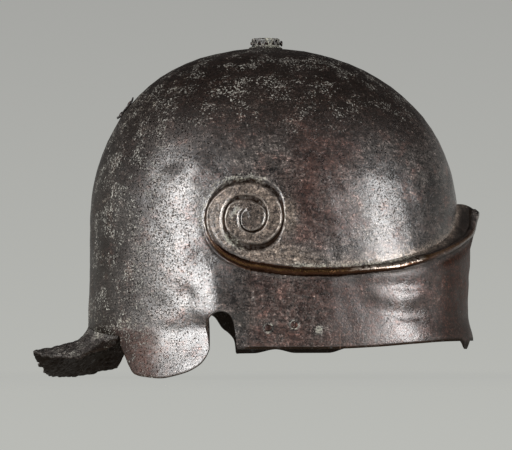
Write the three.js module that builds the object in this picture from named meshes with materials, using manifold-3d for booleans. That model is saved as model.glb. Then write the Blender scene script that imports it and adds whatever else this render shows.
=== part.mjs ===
// Hellenistic bronze helmet with a side volute, a browband and a torn neck guard.
// Millimetres. +X is the wearer's front, +Y the wearer's left, +Z up.
// The origin lies under the middle of the helmet, on the surface it is stood on.
import * as THREE from 'three';
import { mergeVertices } from 'three/addons/utils/BufferGeometryUtils.js';
import Module from 'manifold-3d';

const wasm = await Module();
wasm.setup();

// Driving dimensions of the raised bowl
const wall = 1.6;
const fitGap = 0.3;
const cutOverrun = 3;
const bowl = {
  centreX: 11.2,
  halfLength: 114.8,
  halfWidth: 93,
  waistZ: 96,
  crownZ: 205.6,
  crownShiftX: -5.2,
  footFlare: 2,
  footFlareStartShare: 0.1,
  planRoundShare: 2.12,
  profileRoundShare: 2.15,
};

// Brow ledge and band: how far each stands out of the bowl at the front, and the heights
const brow = {
  reach: 13.5,
  bandReach: 7.6,
  tipZ: 103.4,
  sideZ: 64.6,
  rootTipZ: 109,
  rootSideZ: 67.3,
  sideX: 33,
  undercut: 14,
  beadRadius: 1.3,
};
// Shares of the reach by the angle from the front, in shares of a half turn
const ledgeReachShares = [[0, 1], [0.03, 0.72], [0.07, 0.57], [0.14, 0.43], [0.24, 0.28], [0.35, 0.14],
  [0.45, 0.04], [0.53, 0], [1, 0]];
const bandReachShares = [[0, 1], [0.11, 0.9], [0.22, 0.64], [0.33, 0.34], [0.44, 0.11], [0.56, 0], [1, 0]];
// Shares of the rise from the side to the tip, by the share of the way forward
const edgeRiseShares = [[-1.6, 0.1], [-0.39, 0.075], [-0.2, 0.036], [-0.08, 0.012], [0.02, 0.004],
  [0.12, 0.01], [0.23, 0.035], [0.35, 0.06], [0.44, 0.085], [0.54, 0.155], [0.67, 0.26], [0.75, 0.345],
  [0.82, 0.44], [0.88, 0.53], [0.945, 0.68], [1, 1]];
const rootRiseShares = [[-1.6, 0.1], [-0.39, 0.075], [-0.2, 0.04], [0, 0.01], [0.3, 0.045], [0.57, 0.16],
  [0.75, 0.3], [0.85, 0.42], [0.935, 0.61], [0.98, 0.82], [1, 1]];

// Lower edge of the browband, by height, and the small tooth beside the front
const bandEdge = { frontZ: 23.4, rearZ: 18.7, farRearZ: 14.6, flare: 3.2, flareZ: 40 };
const nearEdgeShares = [[-0.2, 0], [0, 0], [0.38, 0.02], [0.55, 0.25], [0.7, 0.62], [0.85, 0.92], [1, 1]];
const farEdgeShares = [[-0.2, 0], [0.08, 0.03], [0.18, 0.32], [0.27, 0.05], [0.42, 0.06], [0.5, 0.42],
  [0.75, 0.8], [1, 1]];
const bandStopShares = [0.02, 0.04, 0.065, 0.1, 0.15, 0.21, 0.28, 0.36, 0.44, 0.52, 0.6, 0.67, 0.74, 0.81,
  0.88, 0.94];
const tooth = { angle: -18, clearAngle: 1.15, width: 6.4, depth: 5 };
const toothShares = [[1.15, 0], [0.8, 0.72], [0.3, 1], [-0.35, 0.96], [-0.8, 0.6], [-1.1, 0]];

// Ear notches, each from its front foot backwards: near right, far left
const rightNotch = { x: -16.2, z: 18.7, length: 16.2, height: 22.3 };
const rightNotchShares = [[0, 0], [0.03, 0.22], [0.08, 0.52], [0.15, 0.77], [0.28, 0.93], [0.5, 1],
  [0.75, 0.98], [0.96, 0.88], [1.09, 0.72], [1.11, 0.55], [1.05, 0.37], [1.01, 0.17]];
const leftNotch = { x: -8.3, z: 14.6, length: 25, height: 26 };
const leftNotchShares = [[0, 0], [0.02, 0.18], [0.06, 0.36], [0.2, 0.52], [0.37, 0.65], [0.55, 0.9],
  [0.7, 0.97], [0.86, 0.93], [0.98, 0.75], [1.02, 0.5], [1, 0.28]];

// Ear lobes of the neck guard that are still part of the bowl, each from its front foot to an
// inset from the back of the bowl
const bowlRearX = bowl.centreX - bowl.halfLength;
const lobeFoot = (x, z, rearInset, height) => ({ x, z, length: x - bowlRearX - rearInset, height });
const rightLobe = lobeFoot(-32.6, 2.2, 18, 25.6);
const rightLobeShares = [[0, 0.64], [0.04, 0.46], [0.11, 0.29], [0.22, 0.16], [0.36, 0.07], [0.55, 0],
  [0.72, 0.01], [0.85, 0.06], [0.9, 0.22], [0.93, 0.36], [0.96, 0.52], [1.0, 0.74], [1.005, 0.95]];
const leftLobe = lobeFoot(-33.3, 4, 25.3, 26);
const leftLobeShares = [[0, 0.5], [0.06, 0.3], [0.16, 0.15], [0.32, 0.05], [0.52, 0], [0.72, 0.03],
  [0.9, 0.1], [0.97, 0.3], [1, 0.6], [1.01, 0.92]];
const lobeFlare = { reach: 5.5, topZ: 34, startShare: 0.5, curlShare: 1.6 };

// Crack between the bowl and the neck guard's rear fragment, by height
const crack = { rearZ: 34, gap: 0.45 };
const crackShares = [[0, 0], [0.2, 0.28], [0.4, 0.7], [0.55, 1], [0.7, 0.95], [0.85, 0.6], [1, 0]];

// Rear fragment of the neck guard: its reach and lowest edge behind the crack
const guard = { reach: 33, tipZ: 17.6, floorZ: 1.3, kneeReach: 2.2, kneeShare: 0.8, wall: 1.6 };
const guardReachShares = [[0, 0.1], [0.08, 0.28], [0.16, 0.52], [0.25, 0.76], [0.33, 0.94], [0.38, 1],
  [0.46, 0.9], [0.5, 0.82], [0.54, 0.76], [0.65, 0.7], [0.8, 0.55], [1, 0.14]];
const guardDropShares = [[0, -0.2], [0.07, 0], [0.16, 0.2], [0.25, 0.2], [0.33, 0.1], [0.38, 0],
  [0.46, 0.42], [0.52, 0.66], [0.58, 0.84], [0.7, 1], [0.84, 0.98], [1, 0.7]];

// Volute on each temple: radius by quarter turns, from its foot on the brow ridge inwards
const volute = { x: -8.4, z: 98.5, radius: 26, footX: -1 };
const voluteTurnShares = [[0, 1.19], [0.25, 1.125], [0.5, 1.09], [1, 1.046], [1.5, 0.962], [2, 0.87],
  [2.5, 0.855], [3, 0.793], [3.5, 0.79], [4, 0.721], [5, 0.62], [5.5, 0.572], [6, 0.45], [7, 0.404],
  [8, 0.353], [9, 0.236], [9.8, 0.222]];

// Rivets that held the cheekpiece hinges, and the leaf that they clamp inside the band
const hinge = {
  rearX: 2.3, frontX: 17.8, rearZ: 31.2, frontZ: 33,
  headRadius: 2.1, headHeight: 0.9, shankRadius: 1, leafWall: 1, leafMargin: 5, leafHeight: 10,
};

// Patch riveted over a crack high on the back
const patch = {
  crownDrop: 37.1, height: 15, width: 13, wall: 1, lift: 1.4, liftCurlShare: 6, seatLiftShare: 0.1,
  rivetSpacing: 8.4, rivetRadius: 0.9, rivetHeadRadius: 1.7, rivetHeadHeight: 0.7,
};
const patchZ = bowl.crownZ - patch.crownDrop;

// Crest fitting on the crown
const crest = {
  baseRadius: 10.6, baseHeight: 1, baseEdgeShare: 0.4,
  collarRadius: 8.75, collarWall: 1.3, collarHeight: 5.2, rimHeight: 0.9, zigzagWall: 0.55,
  rivetRadius: 1.5, rivetHeadRadius: 2.6, rivetHeadHeight: 0.7,
  roveRadius: 5, roveHeight: 1, roveFaceShare: 0.8,
  pinRadius: 0.9, pinHeadRadius: 1.85, pinHeadHeight: 1.3, pinRise: 2.35, pinHeadGap: 0.6, pinTail: 0.8,
};

// Shares of a rivet head's radius and height at its rounded shoulder, and of its peened tail's radius
const rivetShares = { shoulderWidth: 0.78, shoulderHeight: 0.7, tailWidth: 0.7 };

// How closely the meridians of the sheet follow the rim's places, from the crown down
const meridianShares = { crown: 0.55, root: 0.82, ledge: 0.865, bandTop: 0.9, rim: 1 };
// Least part of the undercut below the brow that stays where the ledge has run out
const undercutShare = 0.45;
const browStopShare = 0.85;
const probeShare = 0.01;

// Facet counts
const crownRows = 9;
const bandRows = 5;
const crackColumns = 17;
const guardRows = 4;
const roundSides = 12;
const zigzagTeeth = 12;
const browStops = 17;
const voluteQuarterSteps = 4;
const beadSides = 6;
const beadSteps = 92;
const patchSteps = 6;
const leafColumns = 6;
const leafRows = 3;
const halvings = 40;

const degrees = Math.PI / 180;

// A smooth curve through pairs of [place, value]
function curveThrough(pairs, at) {
  const last = pairs.length - 1;
  if (at <= pairs[0][0]) return pairs[0][1];
  if (at >= pairs[last][0]) return pairs[last][1];
  const after = pairs.findIndex((pair) => pair[0] > at);
  const slope = (a, b) => (b[1] - a[1]) / (b[0] - a[0]);
  const gentle = (index) => {
    if (index <= 0 || index >= last) return 0;
    const left = slope(pairs[index - 1], pairs[index]);
    const right = slope(pairs[index], pairs[index + 1]);
    return left * right <= 0 ? 0 : (2 * left * right) / (left + right);
  };
  const from = pairs[after - 1];
  const to = pairs[after];
  const span = to[0] - from[0];
  const t = (at - from[0]) / span;
  const rise = to[1] - from[1];
  const startSlope = gentle(after - 1) * span;
  const endSlope = gentle(after) * span;
  return from[1] + t * startSlope + t * t * (3 * rise - 2 * startSlope - endSlope)
    + t * t * t * (startSlope + endSlope - 2 * rise);
}

const smooth = (t) => {
  const k = Math.min(1, Math.max(0, t));
  return k * k * (3 - 2 * k);
};
const mix = (from, to, t) => from + (to - from) * t;

// Angle from the front as a share of a half turn, the same on both sides
function turnShare(angle) {
  const turn = Math.abs(angle) % (2 * Math.PI);
  return Math.min(turn, 2 * Math.PI - turn) / Math.PI;
}

// Outline of the bowl at its waist, seen from above, about its own middle
function planRadius(angle) {
  const across = Math.pow(Math.abs(Math.cos(angle)) / bowl.halfLength, bowl.planRoundShare);
  const along = Math.pow(Math.abs(Math.sin(angle)) / bowl.halfWidth, bowl.planRoundShare);
  return Math.pow(across + along, -1 / bowl.planRoundShare);
}

const domeHeight = bowl.crownZ - bowl.waistZ;

// How much of the waist's outline the dome keeps at a height
function domeShare(z) {
  if (z <= bowl.waistZ) return 1;
  const up = Math.min(1, (z - bowl.waistZ) / domeHeight);
  return Math.pow(Math.max(0, 1 - Math.pow(up, bowl.profileRoundShare)), 1 / bowl.profileRoundShare);
}

// Height along a meridian, by an angle that is a quarter turn at the crown
function meridianZ(lift) {
  if (lift <= 0) return bowl.waistZ + domeHeight * lift;
  return bowl.waistZ + domeHeight * Math.pow(Math.sin(lift), 2 / bowl.profileRoundShare);
}

function meridianLift(z) {
  if (z <= bowl.waistZ) return (z - bowl.waistZ) / domeHeight;
  return Math.asin(Math.pow((z - bowl.waistZ) / domeHeight, bowl.profileRoundShare / 2));
}

// A point of the outer face at an angle and height, standing out by a reach
function bowlPoint(angle, z, reach = 0) {
  const below = Math.max(0, (bowl.waistZ - z) / bowl.waistZ);
  const side = smooth((turnShare(angle) - bowl.footFlareStartShare) * 2);
  const behindEar = smooth((turnShare(angle) - lobeFlare.startShare) * 4);
  const curl = Math.pow(Math.max(0, 1 - z / lobeFlare.topZ), lobeFlare.curlShare);
  const flare = bowl.footFlare * below * below * side + lobeFlare.reach * curl * behindEar;
  const radius = planRadius(angle) * domeShare(z) + flare + reach;
  const up = Math.max(0, (z - bowl.waistZ) / domeHeight);
  const middleX = bowl.centreX + bowl.crownShiftX * up * up * up;
  return new THREE.Vector3(middleX + radius * Math.cos(angle), radius * Math.sin(angle), z);
}

const ledgeReach = (angle) => brow.reach * curveThrough(ledgeReachShares, turnShare(angle));

// Band below the brow: it stands out at the front and flares at its lower edge
function bandReach(angle, z) {
  const share = curveThrough(bandReachShares, turnShare(angle));
  const flare = bandEdge.flare * smooth((bandEdge.flareZ - z) / (bandEdge.flareZ - bandEdge.frontZ));
  return (brow.bandReach + flare) * share;
}

function forwardShare(x, frontX) {
  return (x - brow.sideX) / (frontX - brow.sideX);
}

const bowlFrontX = bowl.centreX + bowl.halfLength;

// Height of the brow's edge, and of the ledge's root on the bowl
function browEdgeZ(angle) {
  const x = bowlPoint(angle, bowl.waistZ, ledgeReach(angle)).x;
  const rise = curveThrough(edgeRiseShares, forwardShare(x, bowlFrontX + brow.reach));
  return mix(brow.sideZ, brow.tipZ, rise);
}

function browRootZ(angle) {
  const x = bowlPoint(angle, bowl.waistZ).x;
  const rise = curveThrough(rootRiseShares, forwardShare(x, bowlFrontX));
  return mix(brow.rootSideZ, brow.rootTipZ, rise);
}

// Point of the outer face of the lower sheet: bowl at the back and sides, band at the front
const lowerPoint = (angle, z) => bowlPoint(angle, z, bandReach(angle, z));

// Angle at which the lower sheet reaches an x on one side, found by halving
function angleAtX(x, z, side) {
  let low = 0;
  let high = Math.PI;
  for (let step = 0; step < halvings; step += 1) {
    const middle = (low + high) / 2;
    if (lowerPoint(middle, z).x > x) low = middle;
    else high = middle;
  }
  return side * low;
}

// Lower rim of the helmet

function bandRim(side, notch, edgeShares, rearZ) {
  const lastAngle = Math.abs(angleAtX(notch.x, notch.z, side));
  const frontX = bowlFrontX + brow.bandReach + bandEdge.flare;
  return bandStopShares.map((stop) => {
    const angle = side * stop * lastAngle;
    const x = lowerPoint(angle, rearZ).x;
    const forward = (x - notch.x) / (frontX - notch.x);
    return { angle, z: mix(rearZ, bandEdge.frontZ, curveThrough(edgeShares, forward)) };
  });
}

function outlineRim(side, piece, shares) {
  return shares.map(([back, up]) => {
    const z = piece.z + piece.height * up;
    return { angle: angleAtX(piece.x - piece.length * back, z, side), z };
  });
}

function toothRim() {
  const halfTurn = tooth.width / 2 / (bowl.halfLength + brow.bandReach);
  const middle = tooth.angle * degrees;
  return toothShares.map(([along, down]) => ({
    angle: middle + along * halfTurn,
    z: bandEdge.frontZ - tooth.depth * down,
  }));
}

const leftRear = outlineRim(1, leftLobe, leftLobeShares).at(-1);
const rightRear = outlineRim(-1, rightLobe, rightLobeShares).at(-1);
rightRear.angle += 2 * Math.PI;

// Height of the crack, from the left lobe round the back to the right lobe
function crackZ(share) {
  const foot = mix(leftRear.z, rightRear.z, share);
  return mix(foot, crack.rearZ, curveThrough(crackShares, 1 - share));
}

const crackStops = Array.from({ length: crackColumns }, (_, index) => (index + 0.5) / crackColumns);

function crackRim() {
  return crackStops.map((share) => {
    const angle = mix(leftRear.angle, rightRear.angle, share);
    return { angle, z: crackZ(share) };
  });
}

// All the rim, anticlockwise from above, starting at the front
function rimPlaces() {
  const left = [
    ...bandRim(1, leftNotch, farEdgeShares, bandEdge.farRearZ),
    ...outlineRim(1, leftNotch, leftNotchShares),
    ...outlineRim(1, leftLobe, leftLobeShares),
  ];
  const band = bandRim(-1, rightNotch, nearEdgeShares, bandEdge.rearZ);
  const toothAngles = toothRim();
  const clear = tooth.clearAngle * degrees;
  const toothStart = toothAngles.at(-1).angle - clear;
  const toothEnd = toothAngles[0].angle + clear;
  const right = [
    ...toothAngles,
    ...band.filter((place) => place.angle > toothEnd || place.angle < toothStart),
  ].sort((a, b) => b.angle - a.angle);
  const back = [
    ...right,
    ...outlineRim(-1, rightNotch, rightNotchShares),
    ...outlineRim(-1, rightLobe, rightLobeShares),
  ].map((place) => ({ angle: place.angle + 2 * Math.PI, z: place.z })).reverse();
  return [{ angle: 0, z: bandEdge.frontZ }, ...left, ...crackRim(), ...back];
}

// Sheet with an outer face given as rows of points, thickened inwards

function faceNormals(rows, closed) {
  const lastRow = rows.length - 1;
  const columns = rows[0].length;
  return rows.map((row, r) => row.map((point, c) => {
    const left = closed ? (c + columns - 1) % columns : Math.max(0, c - 1);
    const right = closed ? (c + 1) % columns : Math.min(columns - 1, c + 1);
    const along = rows[r][right].clone().sub(rows[r][left]);
    const down = rows[Math.min(lastRow, r + 1)][c].clone().sub(rows[Math.max(0, r - 1)][c]);
    return down.cross(along).normalize();
  }));
}

function thickenedRows(rows, thickness, closed) {
  const normals = faceNormals(rows, closed);
  const inward = (point, normal) => point.clone().addScaledVector(normal, -thickness);
  return rows.map((row, r) => row.map((point, c) => inward(point, normals[r][c])));
}

function addTriangle(list, a, b, c) {
  list.push(a.x, a.y, a.z, b.x, b.y, b.z, c.x, c.y, c.z);
}

function addQuad(list, a, b, c, d) {
  addTriangle(list, a, b, c);
  addTriangle(list, a, c, d);
}

function geometryFrom(list) {
  const geometry = new THREE.BufferGeometry();
  geometry.setAttribute('position', new THREE.Float32BufferAttribute(list, 3));
  return mergeVertices(geometry);
}

// Closed solid between an outer and an inner face; a pole closes the first row of a bowl
function sheetGeometry(outer, inner, closed, outerPole, innerPole) {
  const list = [];
  const columns = outer[0].length;
  const lastRow = outer.length - 1;
  const steps = closed ? columns : columns - 1;
  for (let c = 0; c < steps; c += 1) {
    const next = (c + 1) % columns;
    for (let r = 0; r < lastRow; r += 1) {
      addQuad(list, outer[r][c], outer[r + 1][c], outer[r + 1][next], outer[r][next]);
      addQuad(list, inner[r][next], inner[r + 1][next], inner[r + 1][c], inner[r][c]);
    }
    addQuad(list, outer[lastRow][c], inner[lastRow][c], inner[lastRow][next], outer[lastRow][next]);
    if (outerPole) {
      addTriangle(list, outerPole, outer[0][c], outer[0][next]);
      addTriangle(list, innerPole, inner[0][next], inner[0][c]);
    } else {
      addQuad(list, outer[0][next], inner[0][next], inner[0][c], outer[0][c]);
    }
  }
  if (!closed) {
    for (let r = 0; r < lastRow; r += 1) {
      const end = columns - 1;
      addQuad(list, outer[r][0], inner[r][0], inner[r + 1][0], outer[r + 1][0]);
      addQuad(list, outer[r + 1][end], inner[r + 1][end], inner[r][end], outer[r][end]);
    }
  }
  return geometryFrom(list);
}

// Joining and cutting of closed solids

function solidOf(geometry) {
  const bare = geometry.clone();
  bare.deleteAttribute('normal');
  bare.deleteAttribute('uv');
  const merged = mergeVertices(bare.index ? bare.toNonIndexed() : bare);
  return new wasm.Manifold(new wasm.Mesh({
    numProp: 3,
    vertProperties: new Float32Array(merged.attributes.position.array),
    triVerts: new Uint32Array(merged.index.array),
  }));
}

function geometryOf(solid) {
  const mesh = solid.getMesh();
  const geometry = new THREE.BufferGeometry();
  geometry.setAttribute('position', new THREE.Float32BufferAttribute(mesh.vertProperties, 3));
  geometry.setIndex(new THREE.BufferAttribute(mesh.triVerts, 1));
  return geometry;
}

function cutEach(solid, cutters) {
  return cutters.reduce((left, cutter) => left.subtract(solidOf(cutter)), solid);
}

// Turned piece about its own Z axis, from [radius, height] pairs that start and end on the axis
function turned(outline) {
  const points = outline.map(([radius, height]) => new THREE.Vector2(radius, height));
  return new THREE.LatheGeometry(points, roundSides).rotateX(Math.PI / 2);
}

function turnedRing(outline) {
  return turned([...outline, outline[0]]);
}

// Moves a piece made about Z so that its axis runs along a direction from a place
function aimed(geometry, place, direction) {
  const turn = new THREE.Quaternion().setFromUnitVectors(new THREE.Vector3(0, 0, 1), direction);
  return geometry.applyQuaternion(turn).translate(place.x, place.y, place.z);
}

function roundCutter(radius, from, to) {
  return turned([[0, from], [radius, from], [radius, to], [0, to]]);
}

// Outward direction of a face that a function of angle and height describes
function outwardOf(pointAt, angle, z) {
  const rise = probeShare * bowl.halfWidth;
  const around = pointAt(angle + probeShare, z).sub(pointAt(angle - probeShare, z));
  const up = pointAt(angle, z + rise).sub(pointAt(angle, z - rise));
  return around.cross(up).normalize();
}

// Centre line of the brow bead and volute on one side, tip first

function browLine(side) {
  const footAngle = Math.abs(angleAtX(volute.footX, brow.sideZ, side));
  return Array.from({ length: browStops }, (_, index) => {
    const angle = side * footAngle * Math.pow(index / (browStops - 1), browStopShare);
    return bowlPoint(angle, browEdgeZ(angle), ledgeReach(angle));
  });
}

function voluteLine(side) {
  const count = voluteTurnShares.at(-1)[0] * voluteQuarterSteps;
  const points = [];
  for (let step = 0; step <= count; step += 1) {
    const quarter = step / voluteQuarterSteps;
    const radius = volute.radius * curveThrough(voluteTurnShares, quarter);
    const turn = -(1 + quarter) * Math.PI / 2;
    const x = volute.x + radius * Math.cos(turn);
    const z = volute.z + radius * Math.sin(turn);
    points.push(bowlPoint(angleAtX(x, z, side), z));
  }
  return points;
}

function beadGeometry(side) {
  const curve = new THREE.CatmullRomCurve3([...browLine(side), ...voluteLine(side)]);
  const section = new THREE.Shape();
  for (let corner = 0; corner < beadSides; corner += 1) {
    const turn = (corner + 0.5) / beadSides * 2 * Math.PI;
    const x = brow.beadRadius * Math.cos(turn);
    const y = brow.beadRadius * Math.sin(turn);
    if (corner === 0) section.moveTo(x, y);
    else section.lineTo(x, y);
  }
  return new THREE.ExtrudeGeometry(section, { steps: beadSteps, extrudePath: curve, curveSegments: 1 });
}

// Places of the small holes, each with its direction out of the sheet

function hingeSeats(side) {
  return [[hinge.frontX, hinge.frontZ], [hinge.rearX, hinge.rearZ]].map(([x, z]) => {
    const angle = angleAtX(x, z, side);
    return { place: lowerPoint(angle, z), outward: outwardOf(lowerPoint, angle, z) };
  });
}

function patchSeats() {
  return [1, -1].map((end) => {
    const z = patchZ + end * patch.rivetSpacing / 2;
    return { place: bowlPoint(Math.PI, z), outward: outwardOf(bowlPoint, Math.PI, z) };
  });
}

const crestX = bowl.centreX + bowl.crownShiftX;
const crestBaseZ = bowl.crownZ + fitGap;
const collarZ = crestBaseZ + crest.baseHeight;

// The bowl, browband, ear lobes, brow bead and volutes: one hammered sheet
function skullGeometry() {
  const places = rimPlaces();
  const count = places.length;
  const rows = [];
  const angleAt = (index, share) => mix(index / count * 2 * Math.PI, places[index].angle, share);
  for (let row = 1; row <= crownRows; row += 1) {
    const share = (row - 0.5) / (crownRows - 0.5);
    rows.push(places.map((place, index) => {
      const angle = angleAt(index, mix(meridianShares.crown, meridianShares.root, share));
      const lowLift = meridianLift(browRootZ(angle));
      return bowlPoint(angle, meridianZ(mix(Math.PI / 2, lowLift, share)));
    }));
  }
  rows.push(places.map((place, index) => {
    const angle = angleAt(index, meridianShares.ledge);
    return bowlPoint(angle, browEdgeZ(angle), ledgeReach(angle));
  }));
  const underZ = (angle) => browEdgeZ(angle)
    - brow.undercut * mix(undercutShare, 1, ledgeReach(angle) / brow.reach);
  for (let row = 0; row <= bandRows; row += 1) {
    const share = row / bandRows;
    rows.push(places.map((place, index) => {
      const angle = angleAt(index, mix(meridianShares.bandTop, meridianShares.rim, share));
      return lowerPoint(angle, mix(underZ(angle), place.z, share));
    }));
  }
  const inner = thickenedRows(rows, wall, true);
  const outerPole = new THREE.Vector3(crestX, 0, bowl.crownZ);
  const innerPole = outerPole.clone().setZ(bowl.crownZ - wall);
  let solid = solidOf(sheetGeometry(rows, inner, true, outerPole, innerPole));
  [1, -1].forEach((side) => {
    solid = solid.add(solidOf(beadGeometry(side)));
  });
  const cutter = (radius) => roundCutter(radius, -wall - cutOverrun, cutOverrun);
  const hole = (seat, radius) => aimed(cutter(radius), seat.place, seat.outward);
  const crestHole = cutter(crest.rivetRadius + fitGap).translate(crestX, 0, bowl.crownZ);
  return geometryOf(cutEach(solid, [
    ...hingeSeats(1).map((seat) => hole(seat, hinge.shankRadius + fitGap)),
    ...hingeSeats(-1).map((seat) => hole(seat, hinge.shankRadius + fitGap)),
    ...patchSeats().map((seat) => hole(seat, patch.rivetRadius + fitGap)),
    crestHole,
  ]));
}

// Rear fragment of the flared neck guard, torn at its right end
function neckGuardGeometry() {
  const endGap = 2 * crack.gap / bowl.halfWidth;
  const startAngle = (share) => leftRear.angle + endGap * (share === 0);
  const endAngle = (share) => rightRear.angle - endGap * (share === 1);
  const stops = [0, ...crackStops, 1];
  const rows = [];
  for (let row = 0; row <= guardRows; row += 1) {
    const t = row / guardRows;
    rows.push(stops.map((share) => {
      const angle = mix(startAngle(share), endAngle(share), share);
      const fromRight = 1 - share;
      const topZ = crackZ(share) - crack.gap;
      const reach = guard.reach * curveThrough(guardReachShares, fromRight);
      const edgeZ = mix(guard.tipZ, guard.floorZ, curveThrough(guardDropShares, fromRight));
      const kneeZ = mix(topZ, edgeZ, guard.kneeShare);
      const kneeReach = guard.kneeReach * reach / guard.reach;
      const z = (1 - t) * (1 - t) * topZ + 2 * t * (1 - t) * kneeZ + t * t * edgeZ;
      const out = 2 * t * (1 - t) * kneeReach + t * t * reach;
      return bowlPoint(angle, z, out);
    }));
  }
  return sheetGeometry(rows, thickenedRows(rows, guard.wall, false), false);
}

// Patch bent to the back of the bowl, with both of its ends lifted
function patchGeometry() {
  const halfTurn = patch.width / 2 / (planRadius(Math.PI) * domeShare(patchZ));
  const rows = [];
  for (let row = 0; row <= patchSteps; row += 1) {
    const z = mix(patchZ + patch.height / 2, patchZ - patch.height / 2, row / patchSteps);
    const lift = patch.lift * Math.pow(Math.abs(2 * row / patchSteps - 1), patch.liftCurlShare);
    rows.push(Array.from({ length: patchSteps + 1 }, (_, column) => {
      const angle = Math.PI + mix(-halfTurn, halfTurn, column / patchSteps);
      return bowlPoint(angle, z).addScaledVector(outwardOf(bowlPoint, angle, z), fitGap + patch.wall + lift);
    }));
  }
  const solid = solidOf(sheetGeometry(rows, thickenedRows(rows, patch.wall, false), false));
  const holes = patchSeats().map((seat) => aimed(
    roundCutter(patch.rivetRadius + fitGap, -cutOverrun, cutOverrun + patch.wall),
    seat.place,
    seat.outward,
  ));
  return geometryOf(cutEach(solid, holes));
}

// Rivet with a head outside and a peened tail inside, made about the outer face's level
function rivetGeometry(radius, headRadius, headHeight, headSeat, tailSeat) {
  const shoulderRadius = headRadius * rivetShares.shoulderWidth;
  const shoulderHeight = headSeat + headHeight * rivetShares.shoulderHeight;
  return turned([
    [0, tailSeat - headHeight], [headRadius * rivetShares.tailWidth, tailSeat - headHeight],
    [headRadius, tailSeat], [radius, tailSeat], [radius, headSeat], [headRadius, headSeat],
    [shoulderRadius, shoulderHeight], [0, headSeat + headHeight],
  ]);
}

function hingeRivetGeometry(seat) {
  const tailSeat = -wall - hinge.leafWall - 3 * fitGap;
  const shape = rivetGeometry(hinge.shankRadius, hinge.headRadius, hinge.headHeight, fitGap, tailSeat);
  return aimed(shape, seat.place, seat.outward);
}

function patchRivetGeometry(seat) {
  const headSeat = patch.wall + 2 * fitGap + patch.lift * patch.seatLiftShare;
  const tailSeat = -wall - 3 * fitGap;
  const { rivetRadius, rivetHeadRadius, rivetHeadHeight } = patch;
  const shape = rivetGeometry(rivetRadius, rivetHeadRadius, rivetHeadHeight, headSeat, tailSeat);
  return aimed(shape, seat.place, seat.outward);
}

// Fixed leaf of a cheekpiece hinge, bent to the inside of the band
function hingeLeafGeometry(side) {
  const topZ = (hinge.frontZ + hinge.rearZ) / 2 + hinge.leafHeight / 2;
  const rows = [];
  for (let row = 0; row <= leafRows; row += 1) {
    const z = topZ - hinge.leafHeight * row / leafRows;
    rows.push(Array.from({ length: leafColumns + 1 }, (_, column) => {
      const share = side > 0 ? column / leafColumns : 1 - column / leafColumns;
      const x = mix(hinge.frontX + hinge.leafMargin, hinge.rearX - hinge.leafMargin, share);
      const angle = angleAtX(x, z, side);
      return lowerPoint(angle, z).addScaledVector(outwardOf(lowerPoint, angle, z), -wall - 2 * fitGap);
    }));
  }
  const solid = solidOf(sheetGeometry(rows, thickenedRows(rows, hinge.leafWall, false), false));
  const cutDepth = wall + hinge.leafWall + cutOverrun;
  const holes = hingeSeats(side).map((seat) => aimed(
    roundCutter(hinge.shankRadius + fitGap, -cutDepth, cutOverrun),
    seat.place,
    seat.outward,
  ));
  return geometryOf(cutEach(solid, holes));
}

// Crest fitting pieces, all made about the crest's axis with the crown's top at height zero

function crestBaseGeometry() {
  const bore = crest.rivetRadius + fitGap;
  const edge = crest.baseHeight * crest.baseEdgeShare;
  return turnedRing([
    [bore, 0], [crest.baseRadius, 0], [crest.baseRadius, edge],
    [crest.baseRadius - edge, crest.baseHeight], [bore, crest.baseHeight],
  ]);
}

function collarGeometry() {
  const inside = crest.collarRadius - crest.collarWall;
  const ring = turnedRing([
    [inside, 0], [crest.collarRadius, 0], [crest.collarRadius, crest.collarHeight],
    [inside, crest.collarHeight],
  ]);
  const windowHeight = crest.collarHeight - 2 * crest.rimHeight;
  const pitch = 2 * Math.PI / zigzagTeeth;
  const halfBase = Math.tan(pitch / 2) * inside - crest.zigzagWall;
  const depth = crest.collarWall + 2 * cutOverrun;
  const cutters = [];
  for (let index = 0; index < zigzagTeeth; index += 1) {
    [1, -1].forEach((way) => {
      const outline = new THREE.Shape();
      const flat = -way * windowHeight / 2;
      outline.moveTo(-halfBase, flat);
      outline.lineTo(halfBase, flat);
      outline.lineTo(0, way * (windowHeight / 2 - crest.zigzagWall));
      const cutter = new THREE.ExtrudeGeometry(outline, { depth, bevelEnabled: false });
      cutter.rotateX(Math.PI / 2).rotateZ(Math.PI / 2);
      cutter.translate(inside - cutOverrun, 0, crest.collarHeight / 2);
      cutter.rotateZ(pitch * (index + (way > 0 ? 0 : 0.5)));
      cutters.push(cutter);
    });
  }
  const reach = crest.collarRadius + cutOverrun;
  const pinHole = roundCutter(crest.pinRadius + fitGap, -reach, reach)
    .rotateY(Math.PI / 2)
    .translate(0, 0, crest.pinRise);
  return geometryOf(cutEach(solidOf(ring), [...cutters, pinHole]));
}

function crestPinGeometry() {
  const headSeat = crest.collarRadius + crest.pinHeadGap;
  const tail = -crest.collarRadius - crest.pinTail;
  const faceRadius = crest.pinHeadRadius * rivetShares.tailWidth;
  const shoulderHeight = headSeat + crest.pinHeadHeight * rivetShares.shoulderHeight;
  return turned([
    [0, tail], [crest.pinRadius, tail], [crest.pinRadius, headSeat], [crest.pinHeadRadius, headSeat],
    [crest.pinHeadRadius, shoulderHeight],
    [faceRadius, headSeat + crest.pinHeadHeight], [0, headSeat + crest.pinHeadHeight],
  ]).rotateY(Math.PI / 2);
}

function crestRivetGeometry() {
  const tailSeat = -crest.baseHeight - wall - crest.roveHeight - 4 * fitGap;
  return rivetGeometry(crest.rivetRadius, crest.rivetHeadRadius, crest.rivetHeadHeight, 0, tailSeat);
}

function roveGeometry() {
  const bore = crest.rivetRadius + fitGap;
  return turnedRing([
    [bore, 0], [crest.roveRadius * crest.roveFaceShare, 0], [crest.roveRadius, crest.roveHeight],
    [bore, crest.roveHeight],
  ]);
}

// Bronze finishes

function finish(color, roughness, metalness) {
  return new THREE.MeshStandardMaterial({ color, roughness, metalness });
}

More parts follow.
